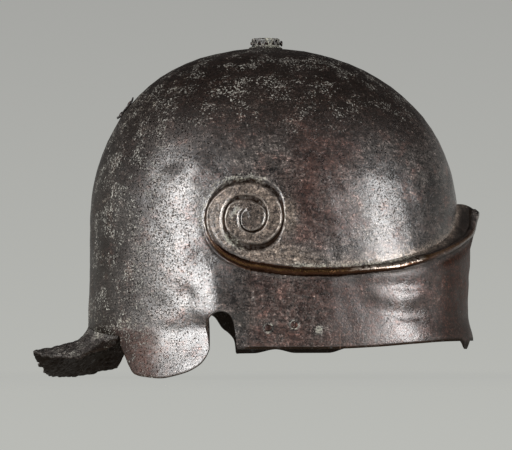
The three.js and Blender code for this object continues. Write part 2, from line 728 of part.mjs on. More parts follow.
const bronze = () => finish(0x4a403a, 0.42, 0.75);
const crustedBronze = () => finish(0x6b645d, 0.62, 0.5);
const greenBronze = () => finish(0x6f7a70, 0.7, 0.4);
const rivetBronze = () => finish(0x5d5248, 0.5, 0.7);

const helmet = new THREE.Group();

function addPiece(name, geometry, material, z = 0, x = 0) {
  const mesh = new THREE.Mesh(geometry, material);
  mesh.name = name;
  mesh.position.set(x, 0, z);
  helmet.add(mesh);
}

addPiece('skull', skullGeometry(), bronze());
addPiece('neck_guard_fragment', neckGuardGeometry(), crustedBronze());
addPiece('rear_patch', patchGeometry(), crustedBronze());
patchSeats().forEach((seat, index) => {
  addPiece(`rear_patch_rivet_${['upper', 'lower'][index]}`, patchRivetGeometry(seat), rivetBronze());
});
[['left', 1], ['right', -1]].forEach(([name, side]) => {
  addPiece(`hinge_leaf_${name}`, hingeLeafGeometry(side), crustedBronze());
  hingeSeats(side).forEach((seat, index) => {
    addPiece(`hinge_rivet_${name}_${['front', 'rear'][index]}`, hingeRivetGeometry(seat), rivetBronze());
  });
});
addPiece('crest_base', crestBaseGeometry(), greenBronze(), crestBaseZ, crestX);
addPiece('crest_collar', collarGeometry(), greenBronze(), collarZ, crestX);
addPiece('crest_pin', crestPinGeometry(), rivetBronze(), collarZ + crest.pinRise, crestX);
addPiece('crest_rivet', crestRivetGeometry(), rivetBronze(), collarZ + fitGap, crestX);
addPiece('crest_rove', roveGeometry(), rivetBronze(), bowl.crownZ - wall - fitGap - crest.roveHeight, crestX);

export default helmet;
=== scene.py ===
import math
from types import SimpleNamespace

import bmesh
import bpy
import numpy as np
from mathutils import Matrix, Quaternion, Vector


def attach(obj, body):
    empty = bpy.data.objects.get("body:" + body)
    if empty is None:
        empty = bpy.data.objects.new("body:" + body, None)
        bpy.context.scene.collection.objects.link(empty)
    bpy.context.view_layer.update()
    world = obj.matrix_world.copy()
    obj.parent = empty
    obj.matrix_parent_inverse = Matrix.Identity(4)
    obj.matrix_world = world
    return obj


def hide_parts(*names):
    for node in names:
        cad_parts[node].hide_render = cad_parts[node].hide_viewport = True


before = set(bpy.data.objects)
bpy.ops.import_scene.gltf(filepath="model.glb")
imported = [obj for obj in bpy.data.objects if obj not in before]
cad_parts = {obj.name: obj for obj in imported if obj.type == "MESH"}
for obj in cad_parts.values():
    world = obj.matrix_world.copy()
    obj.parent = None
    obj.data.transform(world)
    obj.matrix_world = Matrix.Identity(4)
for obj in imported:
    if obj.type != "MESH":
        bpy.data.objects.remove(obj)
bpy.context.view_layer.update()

bl_info = {
    "name": "Hellenistic Helmet",
    "version": (1, 0, 0),
    "blender": (4, 5, 0),
    "location": "View3D > Sidebar > Helmet",
    "description": "Hammered bronze helmet with side volutes, a brow ledge and a crest collar",
    "category": "Add Mesh",
}


class Curve:
    """A smooth curve through pairs of place and value, without overshoot."""

    def __init__(self, *pairs):
        points = np.array(pairs, float)
        self.x = points[:, 0]
        self.y = points[:, 1]
        slopes = np.diff(self.y) / np.diff(self.x)
        gentle = np.zeros(len(points))
        left, right = slopes[:-1], slopes[1:]
        turning = left * right <= 0
        total = np.where(turning, 1, left + right)
        gentle[1:-1] = np.where(turning, 0, 2 * left * right / total)
        self.slope = gentle

    def __call__(self, at):
        at = np.clip(at, self.x[0], self.x[-1])
        after = np.clip(np.searchsorted(self.x, at, side="right"), 1, len(self.x) - 1)
        before = after - 1
        span = self.x[after] - self.x[before]
        t = (at - self.x[before]) / span
        rise = self.y[after] - self.y[before]
        start = self.slope[before] * span
        end = self.slope[after] * span
        bend = t ** 2 * (3 * rise - 2 * start - end)
        return self.y[before] + t * start + bend + t ** 3 * (start + end - 2 * rise)


MM = 0.001
HALF_TURN = math.pi
FULL_TURN = 2 * math.pi

# The raised bowl, in millimetres
BOWL_MIDDLE_X = 11.2
BOWL_HALF_LENGTH = 114.8
BOWL_HALF_WIDTH = 93.0
WAIST_Z = 96.0
CROWN_Z = 205.6
CROWN_SHIFT_X = -5.2
FOOT_FLARE = 2.0
PLAN_ROUND = 2.12
PROFILE_ROUND = 2.15
DOME_HEIGHT = CROWN_Z - WAIST_Z
BOWL_FRONT_X = BOWL_MIDDLE_X + BOWL_HALF_LENGTH
WALL = 1.6

# Brow ledge and band
BROW_REACH = 13.5
BAND_REACH = 7.6
BROW_TIP_Z = 103.4
BROW_SIDE_Z = 64.6
ROOT_TIP_Z = 109.0
ROOT_SIDE_Z = 67.3
BROW_SIDE_X = 33.0
UNDERCUT = 14.0
BEAD_RADIUS = 1.9
ledge_share = Curve((0, 1), (0.03, 0.72), (0.07, 0.57), (0.14, 0.43), (0.24, 0.28), (0.35, 0.14),
                    (0.45, 0.04), (0.53, 0), (1, 0))
band_share = Curve((0, 1), (0.11, 0.9), (0.22, 0.64), (0.33, 0.34), (0.44, 0.11), (0.56, 0), (1, 0))
edge_rise = Curve((-1.6, 0.11), (-0.39, 0.088), (-0.2, 0.02), (-0.08, 0.002), (0.02, 0), (0.12, 0.01),
                  (0.23, 0.035), (0.35, 0.06), (0.44, 0.085), (0.54, 0.155), (0.67, 0.26), (0.75, 0.345),
                  (0.82, 0.44), (0.88, 0.53), (0.945, 0.68), (1, 1))
root_rise = Curve((-1.6, 0.1), (-0.39, 0.075), (-0.2, 0.04), (0, 0.01), (0.3, 0.045), (0.57, 0.16),
                  (0.75, 0.3), (0.85, 0.42), (0.935, 0.61), (0.98, 0.82), (1, 1))

# Lower edge of the band, its flare and the tooth at the right of the front
EDGE_FRONT_Z = 23.4
EDGE_REAR_Z = 18.7
EDGE_FAR_REAR_Z = 14.6
EDGE_FRONT_X = BOWL_FRONT_X + BAND_REACH + 3.2
EDGE_FLARE = 3.2
EDGE_FLARE_Z = 40.0
near_edge = Curve((-0.2, 0), (0, 0), (0.38, 0.02), (0.55, 0.25), (0.7, 0.62), (0.85, 0.92), (1, 1))
far_edge = Curve((-0.2, 0), (0.08, 0.03), (0.18, 0.32), (0.27, 0.05), (0.42, 0.06), (0.5, 0.42), (0.75, 0.8),
                 (1, 1))
TOOTH_ANGLE = math.radians(-18)
TOOTH_WIDTH = 13.6
TOOTH_DEPTH = 5.0
TOOTH_SHARES = ((1.1, 0), (0.72, 0.5), (0.3, 0.98), (0, 1), (-0.3, 0.94), (-0.6, 0.5), (-1.0, 0))

# Ear notches and lobes: x and z of the front foot, length back, height, then shares of both
RIGHT_NOTCH = (-16.2, 18.7, 16.2, 22.3, (
    (0, 0), (0.03, 0.22), (0.08, 0.52), (0.15, 0.77), (0.28, 0.93), (0.5, 1), (0.75, 0.98),
    (0.96, 0.88), (1.09, 0.72), (1.11, 0.55), (1.05, 0.37), (1.01, 0.17)))
LEFT_NOTCH = (-8.3, 14.6, 25.0, 26.0, (
    (0, 0), (0.02, 0.18), (0.06, 0.36), (0.2, 0.52), (0.37, 0.65), (0.55, 0.9), (0.7, 0.97),
    (0.86, 0.93), (0.98, 0.75), (1.02, 0.5), (1, 0.28)))
RIGHT_LOBE = (-32.6, 2.2, 53.0, 25.6, (
    (0, 0.64), (0.04, 0.46), (0.11, 0.29), (0.22, 0.16), (0.36, 0.07), (0.55, 0), (0.72, 0.01),
    (0.85, 0.06), (0.9, 0.22), (0.93, 0.36), (0.96, 0.52), (1.0, 0.74), (1.005, 0.95)))
LEFT_LOBE = (-33.3, 4.0, 45.0, 26.0, (
    (0, 0.5), (0.06, 0.3), (0.16, 0.15), (0.32, 0.05), (0.52, 0), (0.72, 0.03), (0.9, 0.1),
    (0.97, 0.3), (1, 0.6), (1.01, 0.92)))
LOBE_FLARE = 5.5
LOBE_FLARE_Z = 34.0

# Crack behind the lobes, and the neck guard's fragment below it
CRACK_REAR_Z = 34.0
CRACK_GAP = 0.45
crack_rise = Curve((0, 0), (0.2, 0.28), (0.4, 0.7), (0.55, 1), (0.7, 0.95), (0.85, 0.6), (1, 0))
GUARD_REACH = 33.0
GUARD_TIP_Z = 17.6
GUARD_FLOOR_Z = 1.3
GUARD_KNEE = 2.2
GUARD_KNEE_SHARE = 0.76
guard_reach_share = Curve((0, 0.1), (0.08, 0.28), (0.16, 0.52), (0.25, 0.76), (0.33, 0.94), (0.38, 1),
                          (0.46, 0.9), (0.5, 0.82), (0.54, 0.76), (0.65, 0.7), (0.8, 0.55), (1, 0.14))
guard_drop_share = Curve((0, -0.2), (0.07, 0), (0.16, 0.2), (0.25, 0.2), (0.33, 0.1), (0.38, 0), (0.46, 0.42),
                         (0.52, 0.66), (0.58, 0.84), (0.7, 1), (0.84, 0.98), (1, 0.7))

# Volutes
VOLUTE_X = -8.4
VOLUTE_Z = 97.3
VOLUTE_RADIUS = 26.0
volute_share = Curve((0, 1.105), (0.1, 1.07), (0.25, 1.033), (0.5, 1.02), (1, 1.003), (1.5, 0.922),
                     (2, 0.834), (2.5, 0.82), (3, 0.76), (3.5, 0.757), (4, 0.691), (5, 0.594), (5.5, 0.548),
                     (6, 0.431), (7, 0.387), (8, 0.338), (9, 0.226), (9.8, 0.213))
# How high the face inside each line of the volute stands, and how wide its step is, in millimetres
volute_level = Curve((0, 2.0), (1, 2.0), (2, 1.9), (3, 1.5), (4, 0.9), (5, 0.8), (6, 0.9), (7, 0.6), (8, 0.4),
                     (9, 0.3))
volute_step = Curve((0, 4.6), (1, 2.6), (1.5, 3.2), (2, 3.8), (2.5, 3.8), (3, 2.2), (3.5, 2.6), (4, 3.4),
                    (5, 2.0), (6, 3.0), (6.5, 2.4), (7, 1.7), (8, 1.5), (9.8, 1.1))
# How wide the groove between two turns is
volute_groove = Curve((0, 0.6), (1.1, 0.6), (1.5, 1.4), (2.0, 2.0), (2.5, 1.8), (2.85, 0.75), (3.1, 0.6),
                      (3.4, 1.3), (3.9, 2.2), (4.4, 1.7), (4.8, 0.7), (5.3, 0.6), (5.7, 1.5), (6.3, 1.6),
                      (6.65, 0.7), (7.2, 0.5), (7.7, 0.75), (8.1, 0.6), (8.6, 0.45), (9.3, 0.4), (9.8, 0.8))
# The face runs on from the volute's foot along the brow: its height and how far it reaches up
tail_level = Curve((-9, 2.0), (0, 1.8), (20, 0.9), (45, 0.45), (140, 0.3))
tail_reach = Curve((-9, 15), (5, 13), (20, 8), (45, 4), (140, 3))

# Lower edges of the two flutes on the front of the band, as pairs of x and z, and how they fade
upper_flute = Curve((55, 54.4), (61, 53.4), (67, 52.2), (76, 50.8), (86, 50.2), (95, 51.2), (109, 54.6),
                    (126, 58.5))
lower_flute = Curve((60, 43.5), (70, 39.6), (76, 37.4), (82, 35.2), (90, 34.6), (99, 35.9), (109, 38.7),
                    (121, 42.1))
flute_fade = Curve((52, 0), (64, 0.3), (72, 0.9), (80, 1), (92, 1), (100, 0.62), (112, 0.5), (126, 0.4))

# Hinge rivets as pairs of x and z, leaves, patch, crest fitting
HINGE_SEATS = ((17.8, 33.0), (2.3, 31.2))
PATCH_SEAT_Z = 167.4
PATCH_HEIGHT = 12.0
PATCH_WIDTH = 13.0
PATCH_LIFT = 1.0
PATCH_RIVET_SPACING = 6.8
FIT_GAP = 0.3
PLATE_WALL = 1.0
LEAF_MARGIN = 5.0
CREST_X = BOWL_MIDDLE_X + CROWN_SHIFT_X
CREST_BASE_Z = CROWN_Z + FIT_GAP
COLLAR_Z = CREST_BASE_Z + PLATE_WALL
COLLAR_RADIUS = 8.75
COLLAR_WALL = 1.3
COLLAR_HEIGHT = 5.2
COLLAR_ROUNDING = 0.3
COLLAR_TEETH = 12
UP = (0, 0, 1)

# Dents and pressed places of the near side: height, x and z of the middle, width and height
DENTS = ((-0.7, -45, 52, 3.6, 4.5), (-0.4, -60, 84, 7, 9), (-0.9, -55.6, 131, 7, 6), (0.7, 16, 98.5, 3.2, 5))

# Rows and columns of the sheets, and the distance in metres within which two vertices are merged
CROWN_ROWS, SIDE_ROWS, LEDGE_ROWS, UNDER_ROWS, BAND_ROWS = 16, 88, 12, 8, 40
GUARD_COLUMNS, GUARD_ROWS = 150, 44
MERGE_DISTANCE = 1e-6

# How far from a volute's line and from the bead the sheet still carries its distance, in millimetres
LINE_REACH = 4.0
BEAD_FAR = 8.0

# Masks inside the helmet, where they aren't 0, and on the guard: name, outside and inside. The inner faces of
# both are painted dark as shade.
INSIDE_MASKS = {"speck_amount": 0.3, "pit_amount": 0.6, "crust_amount": 0.1, "grime": 0.9, "line_width": 1.0,
                "bead_along": BEAD_FAR}
GUARD_MASKS = (("speck_amount", 0.6, 0.1), ("pit_amount", 0.9, 0.8), ("crust_amount", 0.36, 0.1),
               ("grime", 0.3, 0.95), ("red", 0.1, 0.0), ("line_width", 1.0, 1.0),
               ("bead_along", BEAD_FAR, BEAD_FAR))

# What the patina is given, its fixed colours, and those of the studio
PATINA_COLOURS = ("Main", "Second", "Third", "Specks", "Crust")
STEERED_AMOUNTS = ("Speck Amount", "Pit Amount", "Crust Amount", "Grime")
PATINA_AMOUNTS = STEERED_AMOUNTS + ("Grain", "Base Roughness", "Base Metalness")
BRONZE_IOR = 1.95
SHADE_AND_GRIME_COLOUR = (0.022, 0.014, 0.009)
PIT_COLOUR = (0.012, 0.010, 0.009)
LIP_HIGHLIGHT_COLOUR = (0.66, 0.60, 0.53)
GROOVE_SHADE_COLOUR = (0.024, 0.012, 0.006)
BAND_COLOUR = (0.082, 0.036, 0.019)
BEAD_SHADOW_COLOUR = (0.012, 0.007, 0.005)
GLEAM_COLOUR = (0.62, 0.53, 0.45)
SCRATCH_COLOUR = (0.20, 0.12, 0.085)
PAPER_COLOUR = (0.60, 0.60, 0.575)
PAPER_TONE = (0.477, 0.483, 0.458)
BACKDROP_LOW = (0.492, 0.498, 0.470)
BACKDROP_HIGH = (0.380, 0.382, 0.365)
ROOM_ABOVE = (0.05, 0.05, 0.05)
ROOM_IN_FRONT = (0.115, 0.115, 0.115)
LAMP_AIM = (0.0, 0.0, 0.1)


def smooth(t):
    k = np.clip(t, 0, 1)
    return k * k * (3 - 2 * k)


def mix(start, end, t):
    return start + (end - start) * t


def turn_share(angle):
    turn = np.abs(angle) % FULL_TURN
    return np.minimum(turn, FULL_TURN - turn) / HALF_TURN


def plan_radius(angle):
    across = (np.abs(np.cos(angle)) / BOWL_HALF_LENGTH) ** PLAN_ROUND
    along = (np.abs(np.sin(angle)) / BOWL_HALF_WIDTH) ** PLAN_ROUND
    return (across + along) ** (-1 / PLAN_ROUND)


def dome_share(z):
    up = np.clip((z - WAIST_Z) / DOME_HEIGHT, 0, 1)
    return np.maximum(0, 1 - up ** PROFILE_ROUND) ** (1 / PROFILE_ROUND)


def meridian_z(lift):
    high = np.sin(np.maximum(lift, 0)) ** (2 / PROFILE_ROUND)
    return WAIST_Z + DOME_HEIGHT * np.where(lift <= 0, lift, high)


def meridian_lift(z):
    up = (z - WAIST_Z) / DOME_HEIGHT
    return np.where(up <= 0, up, np.arcsin(np.clip(up, 0, 1) ** (PROFILE_ROUND / 2)))


def bowl_point(angle, z, reach=0.0):
    """Points of the bowl's outer face, as an array of x, y and z in millimetres."""
    below = np.maximum(0, (WAIST_Z - z) / WAIST_Z)
    side = smooth(turn_share(angle) * 2 - 0.2)
    ear = LOBE_FLARE * np.maximum(0, 1 - z / LOBE_FLARE_Z) ** 1.6 * smooth(turn_share(angle) * 4 - 2)
    radius = plan_radius(angle) * dome_share(z) + FOOT_FLARE * below ** 2 * side + ear + reach
    up = np.maximum(0, (z - WAIST_Z) / DOME_HEIGHT)
    middle = BOWL_MIDDLE_X + CROWN_SHIFT_X * up ** 3
    z = z + 0 * radius
    return np.stack([middle + radius * np.cos(angle), radius * np.sin(angle), z], -1)


def ledge_reach(angle):
    return BROW_REACH * ledge_share(turn_share(angle))


def band_reach(angle, z):
    flare = EDGE_FLARE * smooth((EDGE_FLARE_Z - z) / (EDGE_FLARE_Z - EDGE_FRONT_Z))
    return (BAND_REACH + flare) * band_share(turn_share(angle))


def forward_share(x, front_x):
    return (x - BROW_SIDE_X) / (front_x - BROW_SIDE_X)


def brow_edge_z(angle):
    x = bowl_point(angle, WAIST_Z, ledge_reach(angle))[..., 0]
    return mix(BROW_SIDE_Z, BROW_TIP_Z, edge_rise(forward_share(x, BOWL_FRONT_X + BROW_REACH)))


def brow_root_z(angle):
    x = bowl_point(angle, WAIST_Z)[..., 0]
    return mix(ROOT_SIDE_Z, ROOT_TIP_Z, root_rise(forward_share(x, BOWL_FRONT_X)))


def lower_point(angle, z):
    return bowl_point(angle, z, band_reach(angle, z))


def angle_at_x(x, z, side):
    """Angle at which the lower sheet reaches an x on one side, found by halving."""
    low = np.zeros(np.broadcast(x, z).shape)
    high = low + HALF_TURN
    for _ in range(40):
        middle = (low + high) / 2
        beyond = lower_point(middle, z)[..., 0] > x
        low = np.where(beyond, middle, low)
        high = np.where(beyond, high, middle)
    return side * low


# Rim of the sheet, as angles and heights


def band_rim(side, notch, edge_curve, rear_z):
    last = abs(float(angle_at_x(notch[0], notch[1], side)))
    angles = np.linspace(0.004, 0.985, 120) * last
    x = lower_point(angles, rear_z)[..., 0]
    forward = (x - notch[0]) / (EDGE_FRONT_X - notch[0])
    return np.array([side * angles, mix(rear_z, EDGE_FRONT_Z, edge_curve(forward))])


def rounded(points, steps):
    """Points of a smooth line through a few chosen ones."""
    points = np.array(points, float)
    padded = np.vstack([2 * points[0] - points[1], points, 2 * points[-1] - points[-2]])
    t = np.linspace(0, 1, steps, endpoint=False)[:, None]
    parts = []
    for a, b, c, d in zip(padded[:-3], padded[1:-2], padded[2:-1], padded[3:]):
        parts.append(0.5 * (2 * b + (c - a) * t + (2 * a - 5 * b + 4 * c - d) * t ** 2
                            + (3 * b - a - 3 * c + d) * t ** 3))
    return np.vstack(parts + [points[-1:]])


def outline_rim(side, piece):
    x, z, length, height, shares = piece
    line = rounded(shares, 6)
    rim_z = z + height * line[:, 1]
    return np.array([angle_at_x(x - length * line[:, 0], rim_z, side), rim_z])


def tooth_rim():
    half_turn = TOOTH_WIDTH / 2 / (BOWL_HALF_LENGTH + BAND_REACH)
    line = rounded(TOOTH_SHARES, 4)
    return np.array([TOOTH_ANGLE + line[:, 0] * half_turn, EDGE_FRONT_Z - TOOTH_DEPTH * line[:, 1]])


def crack_z(share):
    left_z = LEFT_LOBE[1] + LEFT_LOBE[3] * LEFT_LOBE[4][-1][1]
    right_z = RIGHT_LOBE[1] + RIGHT_LOBE[3] * RIGHT_LOBE[4][-1][1]
    foot = mix(left_z, right_z, share)
    return mix(foot, CRACK_REAR_Z, crack_rise(1 - share))


def rear_angles():
    left = float(outline_rim(1, LEFT_LOBE)[0][-1])
    right = float(outline_rim(-1, RIGHT_LOBE)[0][-1]) + FULL_TURN
    return left, right


def rim_line():
    """The whole rim anticlockwise from above, as matching angles and heights."""
    left, right = rear_angles()
    shares = np.linspace(0.01, 0.99, 60)
    crack = np.array([mix(left, right, shares), crack_z(shares)])
    far_band = band_rim(1, LEFT_NOTCH, far_edge, EDGE_FAR_REAR_Z)
    band = band_rim(-1, RIGHT_NOTCH, near_edge, EDGE_REAR_Z)
    tooth = tooth_rim()
    behind = band[:, band[0] < tooth[0].min() - 0.004]
    ahead = band[:, band[0] > tooth[0].max() + 0.004]
    near_side = [outline_rim(-1, RIGHT_LOBE), outline_rim(-1, RIGHT_NOTCH), behind, tooth, ahead]
    near_side = [part[:, ::-1] + [[FULL_TURN], [0]] for part in near_side]
    far_side = [far_band, outline_rim(1, LEFT_NOTCH), outline_rim(1, LEFT_LOBE)]
    return np.concatenate(far_side + [crack] + near_side, axis=1)


def resampled_rim(columns):
    """Rim places spread by distance, closer under the volutes and along steep stretches."""
    angle, z = rim_line()
    angle = np.append(angle, angle[0] + FULL_TURN)
    z = np.append(z, z[0])
    around = np.diff(angle)
    middle = angle[:-1] + around / 2
    x = lower_point(middle, z[:-1])[..., 0]
    near_volute = smooth(1.35 - np.abs(x - VOLUTE_X + 1) / 36)
    dense = 1 + np.where(middle > HALF_TURN, 4.4, 2.6) * near_volute
    weight = np.hypot(around * plan_radius(angle[:-1]) * dense, 0.6 * np.diff(z))
    place = np.concatenate([[0], np.cumsum(np.maximum(weight, 1e-6))])
    at = np.linspace(0, place[-1], columns, endpoint=False)
    rim_angle = np.interp(at, place, angle)
    rim_z = np.interp(at, place, z)
    reach = columns // 28
    extended = np.concatenate([rim_angle[-reach:] - FULL_TURN, rim_angle, rim_angle[:reach] + FULL_TURN])
    window = np.hanning(2 * reach + 1)
    calm_angle = np.convolve(extended, window / window.sum(), "valid")
    return calm_angle, rim_angle, rim_z


# Relief that is hammered into the sheet, in millimetres along its outward direction


def ripple(x, y, z, size, seed):
    """Smooth irregular swell between -1 and 1, from a few slow waves."""
    draw = np.random.default_rng(seed)
    total = 0.0
    for _ in range(7):
        way = draw.normal(size=3)
        way /= np.linalg.norm(way)
        wave = draw.uniform(0.6, 1.5) * FULL_TURN / size
        total = total + np.sin((way[0] * x + way[1] * y + way[2] * z) * wave + draw.uniform(0, FULL_TURN))
    return total / 3.2


def ripples(x, y, z, *waves):
    """Swells of several sizes, each given as its height, size and seed."""
    return sum(height * ripple(x, y, z, size, seed) for height, size, seed in waves)


def bump_at(distance, width):
    return np.exp(-(distance / width) ** 2)


def spot(x, z, middle_x, middle_z, width, height):
    return bump_at(x - middle_x, width) * bump_at(z - middle_z, height)


def volute_relief(at, groove_depth):
    """Height of the volute's faces on the side of the bowl, with its grooves and their lips."""
    dx = at.x - VOLUTE_X
    dz = at.z - VOLUTE_Z
    at.rho = np.hypot(dx, dz)
    at.quarter = ((-HALF_TURN / 2 - np.arctan2(dz, dx)) / (HALF_TURN / 2)) % 4
    rise = smooth(at.brow / volute_step.y[0] + 0.5)
    fade = 1 - smooth((at.brow - tail_reach(at.x)) / 10)
    tail = tail_level(at.x) * rise * fade
    last_quarter = at.quarter > 3
    height = np.where(last_quarter, tail, 0.0)
    face = np.where(last_quarter, np.clip(tail / 1.2, 0, 1), 0.0)
    crease, lip, groove, line_amount = (np.zeros_like(at.x) for _ in range(4))
    nearest = np.full_like(at.x, 1e3)
    at.line_width = np.ones_like(at.x)
    for turn in range(3):
        place = at.quarter + 4 * turn
        alive = smooth((volute_share.x[-1] - place) / 0.4)
        away = at.rho - VOLUTE_RADIUS * volute_share(place)
        inside = smooth(0.5 - away / volute_step(place)) * alive
        height = mix(height, volute_level(place), inside)
        face = np.maximum(face, inside)
        width = volute_groove(place)
        cut = alive * (smooth((at.quarter - 0.35) / 0.6) if turn == 0 else 1.0)
        closer = (np.abs(away) < np.abs(nearest)) & (alive > 0)
        nearest = np.where(closer, away, nearest)
        at.line_width = np.where(closer, width, at.line_width)
        line_amount = np.where(closer, cut, line_amount)
        mark = bump_at(away, width) * cut
        crease = np.maximum(crease, mark)
        groove = np.maximum(groove, mark * (0.75 + 0.4 * width))
        lip = np.maximum(lip, bump_at(np.abs(away) - 1.35 * width - 0.35, 0.5) * cut)
    window = np.where(last_quarter & (at.rho > VOLUTE_RADIUS), 1.0, smooth((48 - at.rho) / 8))
    reach = at.on_side * (at.x > VOLUTE_X - 60)
    at.face = np.clip(face * window * reach, 0, 1)
    at.crease = np.clip(crease * reach, 0, 1)
    at.line_amount = np.clip(line_amount * (np.abs(nearest) < LINE_REACH) * reach, 0, 1)
    bearing = HALF_TURN * np.clip(nearest / LINE_REACH, -1, 1)
    at.line_cos, at.line_sin = np.cos(bearing), np.sin(bearing)
    # The painted highlight on the lips is strongest on the volute's left and right sides
    at.lip_amount = 0.18 + 0.82 * np.sin(at.quarter * HALF_TURN / 2) ** 4
    return (height - groove_depth * groove + 0.3 * lip) * window * reach


def bead_relief(at):
    """Height of the bead that leaves the volute's foot and runs on along the brow's edge."""
    at.outer = at.rho - VOLUTE_RADIUS * volute_share(at.quarter)
    before_foot = (at.x < VOLUTE_X) & (at.quarter < 2)
    away = np.where(before_foot, at.outer, at.brow)
    run = np.where(before_foot, (1 - smooth((at.quarter - 0.4) / 0.6)) * at.on_side, at.x >= VOLUTE_X)
    tip = smooth((at.x - 129) / 8)
    radius = BEAD_RADIUS * mix(mix(1.0, 0.75, smooth((at.x - 90) / 12)), 2.1, tip)
    at.bead = np.sqrt(np.maximum(0, 1 - (away / radius) ** 2)) * run
    sides = (bump_at(away - radius - 0.8, 0.75) + bump_at(away + radius + 0.9, 0.85)) * run
    at.bead_side = np.clip(sides, 0, 1)
    # The dark band along the bead tapers round the volute and to the front
    behind = mix(3.1, 1.1, smooth((at.quarter - 0.15) / 0.7))
    ahead = mix(mix(3.1, 2.2, smooth((at.x - 45) / 45)), 1.6, smooth((at.x - 96) / 12))
    at.bead_along = np.clip(away * 3.0 / np.where(before_foot, behind, ahead), -BEAD_FAR, BEAD_FAR)
    at.bead_run = run * (1 - tip) * (1 - 0.45 * smooth((at.x - 96) / 12))
    return radius * at.bead * mix(0.76, 0.22, tip) - 0.45 * sides


def band_relief(at, depth):
    """Two flutes pressed into the front of the band, which is dished above and between them."""
    x, z = at.x, at.z
    flat = 0 * x
    wander = 0.9 * ripple(x, flat, 0.3 * z, 17, 9) + 0.5 * ripple(x, flat, 0.4 * z, 6, 10)
    upper = z - upper_flute(x) + wander
    lower = z - lower_flute(x) + 0.7 * wander
    dish = -0.9 * smooth((15 - upper) / 11) * smooth((x + 30) / 60)
    first = np.where(upper > 0, 0.62 * smooth(1 - upper / 6.0), 0.62 - 1.25 * smooth(-upper / 11))
    second = np.where(lower > 0, 0.3 * smooth(1 - lower / 3.2), 0.3 - 0.15 * smooth(-lower / 5))
    flutes = flute_fade(x) * (first + second * smooth((x - 66) / 14))
    low = 0.5 * smooth((30 - z) / 12) * bump_at(x - 86, 20)
    belly = 1.8 * smooth((x - 38) / 50) * smooth((130 - x) / 38) * smooth((106 - z) / 40)
    pressed = depth * (flutes + dish - low) * smooth((1.5 - at.brow) / 3)
    return (pressed + belly) * smooth((0.42 - turn_share(at.angle)) / 0.1)


def near_side_relief(x, z):
    """Dents, folds and hollows of the near side, behind the band."""
    dents = sum(height * spot(x, z, *place) for height, *place in DENTS)
    swollen = 0.45 * bump_at(np.hypot(x + 55, z - 129) - 14, 6)
    fold = bump_at(x + 26.5, np.where(x > -26.5, 30, 13))
    fold = 2.6 * fold * smooth((78 - z) / 26) * smooth((z - 30) / 12)
    hollow = -1.9 * bump_at(x + 62, 26) * smooth((66 - z) / 36)
    curl = 0.8 * smooth((x + 74) / 34) * smooth((30 - z) / 24) * smooth((-24 - x) / 8)
    bend = -0.3 * bump_at(z - 29 + 0.1 * (x + 50), 4.0) * smooth((-30 - x) / 8) * smooth((x + 86) / 12)
    shelf_top = 48 - 0.35 * np.clip(-35 - x, 0, 40)
    shelf = -1.3 * smooth((shelf_top - z) / 20) * smooth((x + 82) / 20) * smooth((-32 - x) / 14)
    return dents + swollen + fold + hollow + curl + bend + shelf


def brow_edge(angles):
    return bowl_point(angles, brow_edge_z(angles), ledge_reach(angles))


def brow_distance(points, angles):
    """Distance along the sheet from the brow's edge, above it positive."""
    away = points - brow_edge(angles)
    step = 0.01
    course = brow_edge(angles + step) - brow_edge(angles - step)
    slope = course[..., 2] / np.maximum(np.linalg.norm(course[..., :2], axis=-1), 1e-6)
    return np.sign(away[..., 2]) * np.linalg.norm(away, axis=-1) / np.sqrt(1 + slope ** 2)


def skull_relief(points, angles, sizes):
    """Relief of the sheet, and what its masks need to know about each of its places."""
    x, y, z = np.moveaxis(points, -1, 0)
    at = SimpleNamespace(x=x, z=z, near=y < 0, angle=angles)
    at.on_side = smooth((np.abs(y) - 30) / 20)
    at.brow = brow_distance(points, angles)
    relief = volute_relief(at, sizes.groove_depth) * sizes.step_height / 2
    relief = relief + bead_relief(at) + band_relief(at, sizes.furrow_depth)
    swell = sizes.hammer_depth * ripples(x, y, z, (1, 36, 5), (0.55, 17, 6), (0.25, 8, 7))
    return relief + swell * (1 - 0.8 * at.face) + near_side_relief(x, z) * at.near, at


# Masks that the sheet carries for its material, each between 0 and 1


def crust_masks(at):
    """Green crust beside the volute, over the brow and round the hinge rivets, where it also paints their
    bright rims, and how much of it hides.
    """
    x, z, quarter = at.x, at.z, at.quarter
    halo = bump_at(at.outer - 3.2, 2.4) * smooth((quarter - 0.5) / 0.5) * smooth((2.6 - quarter) / 0.6)
    halo = halo * at.on_side
    inner = bump_at(x + 18.5 + 0.7 * (z - 83), 4.5) * bump_at(z - 83, 5)
    inner = (inner + 0.8 * bump_at(x + 17.5 - 0.5 * (z - 101), 3) * bump_at(z - 101, 5.5)) * at.on_side
    at.above_brow = bump_at(at.brow - 3.6, 2.4) * smooth((x - 8) / 14) * smooth((105 - x) / 20)
    at.tail = at.face * smooth((x + 18) / 8) * smooth((84 - z) / 6)
    top_groove = at.crease * at.on_side * smooth((quarter - 1.2) / 0.4) * smooth((2.9 - quarter) / 0.3)
    deposit = 0.85 * bump_at(x - 32.7 - 0.5 * (z - 30), 4.2) * bump_at(z - 30, 3.8) * at.near
    # Pale crust rings round the hinge rivets, which also paint the bright rim of each
    rings = sum(bump_at(np.hypot(x - seat_x, z - seat_z) - 2.7, 0.9) for seat_x, seat_z in HINGE_SEATS)
    rings = rings * at.near
    crust = 0.62 * halo + 0.3 * at.tail + 1.3 * inner + 0.68 * at.above_brow + 0.42 * top_groove + deposit
    crust = crust + 0.75 * rings + 0.22 * at.back * bump_at(z - 34, 7) + 0.2 * at.back + 0.24 * at.high
    grown = 0.6 * halo + 0.9 * inner + deposit + 0.9 * rings + 0.3 * at.above_brow
    return crust, grown


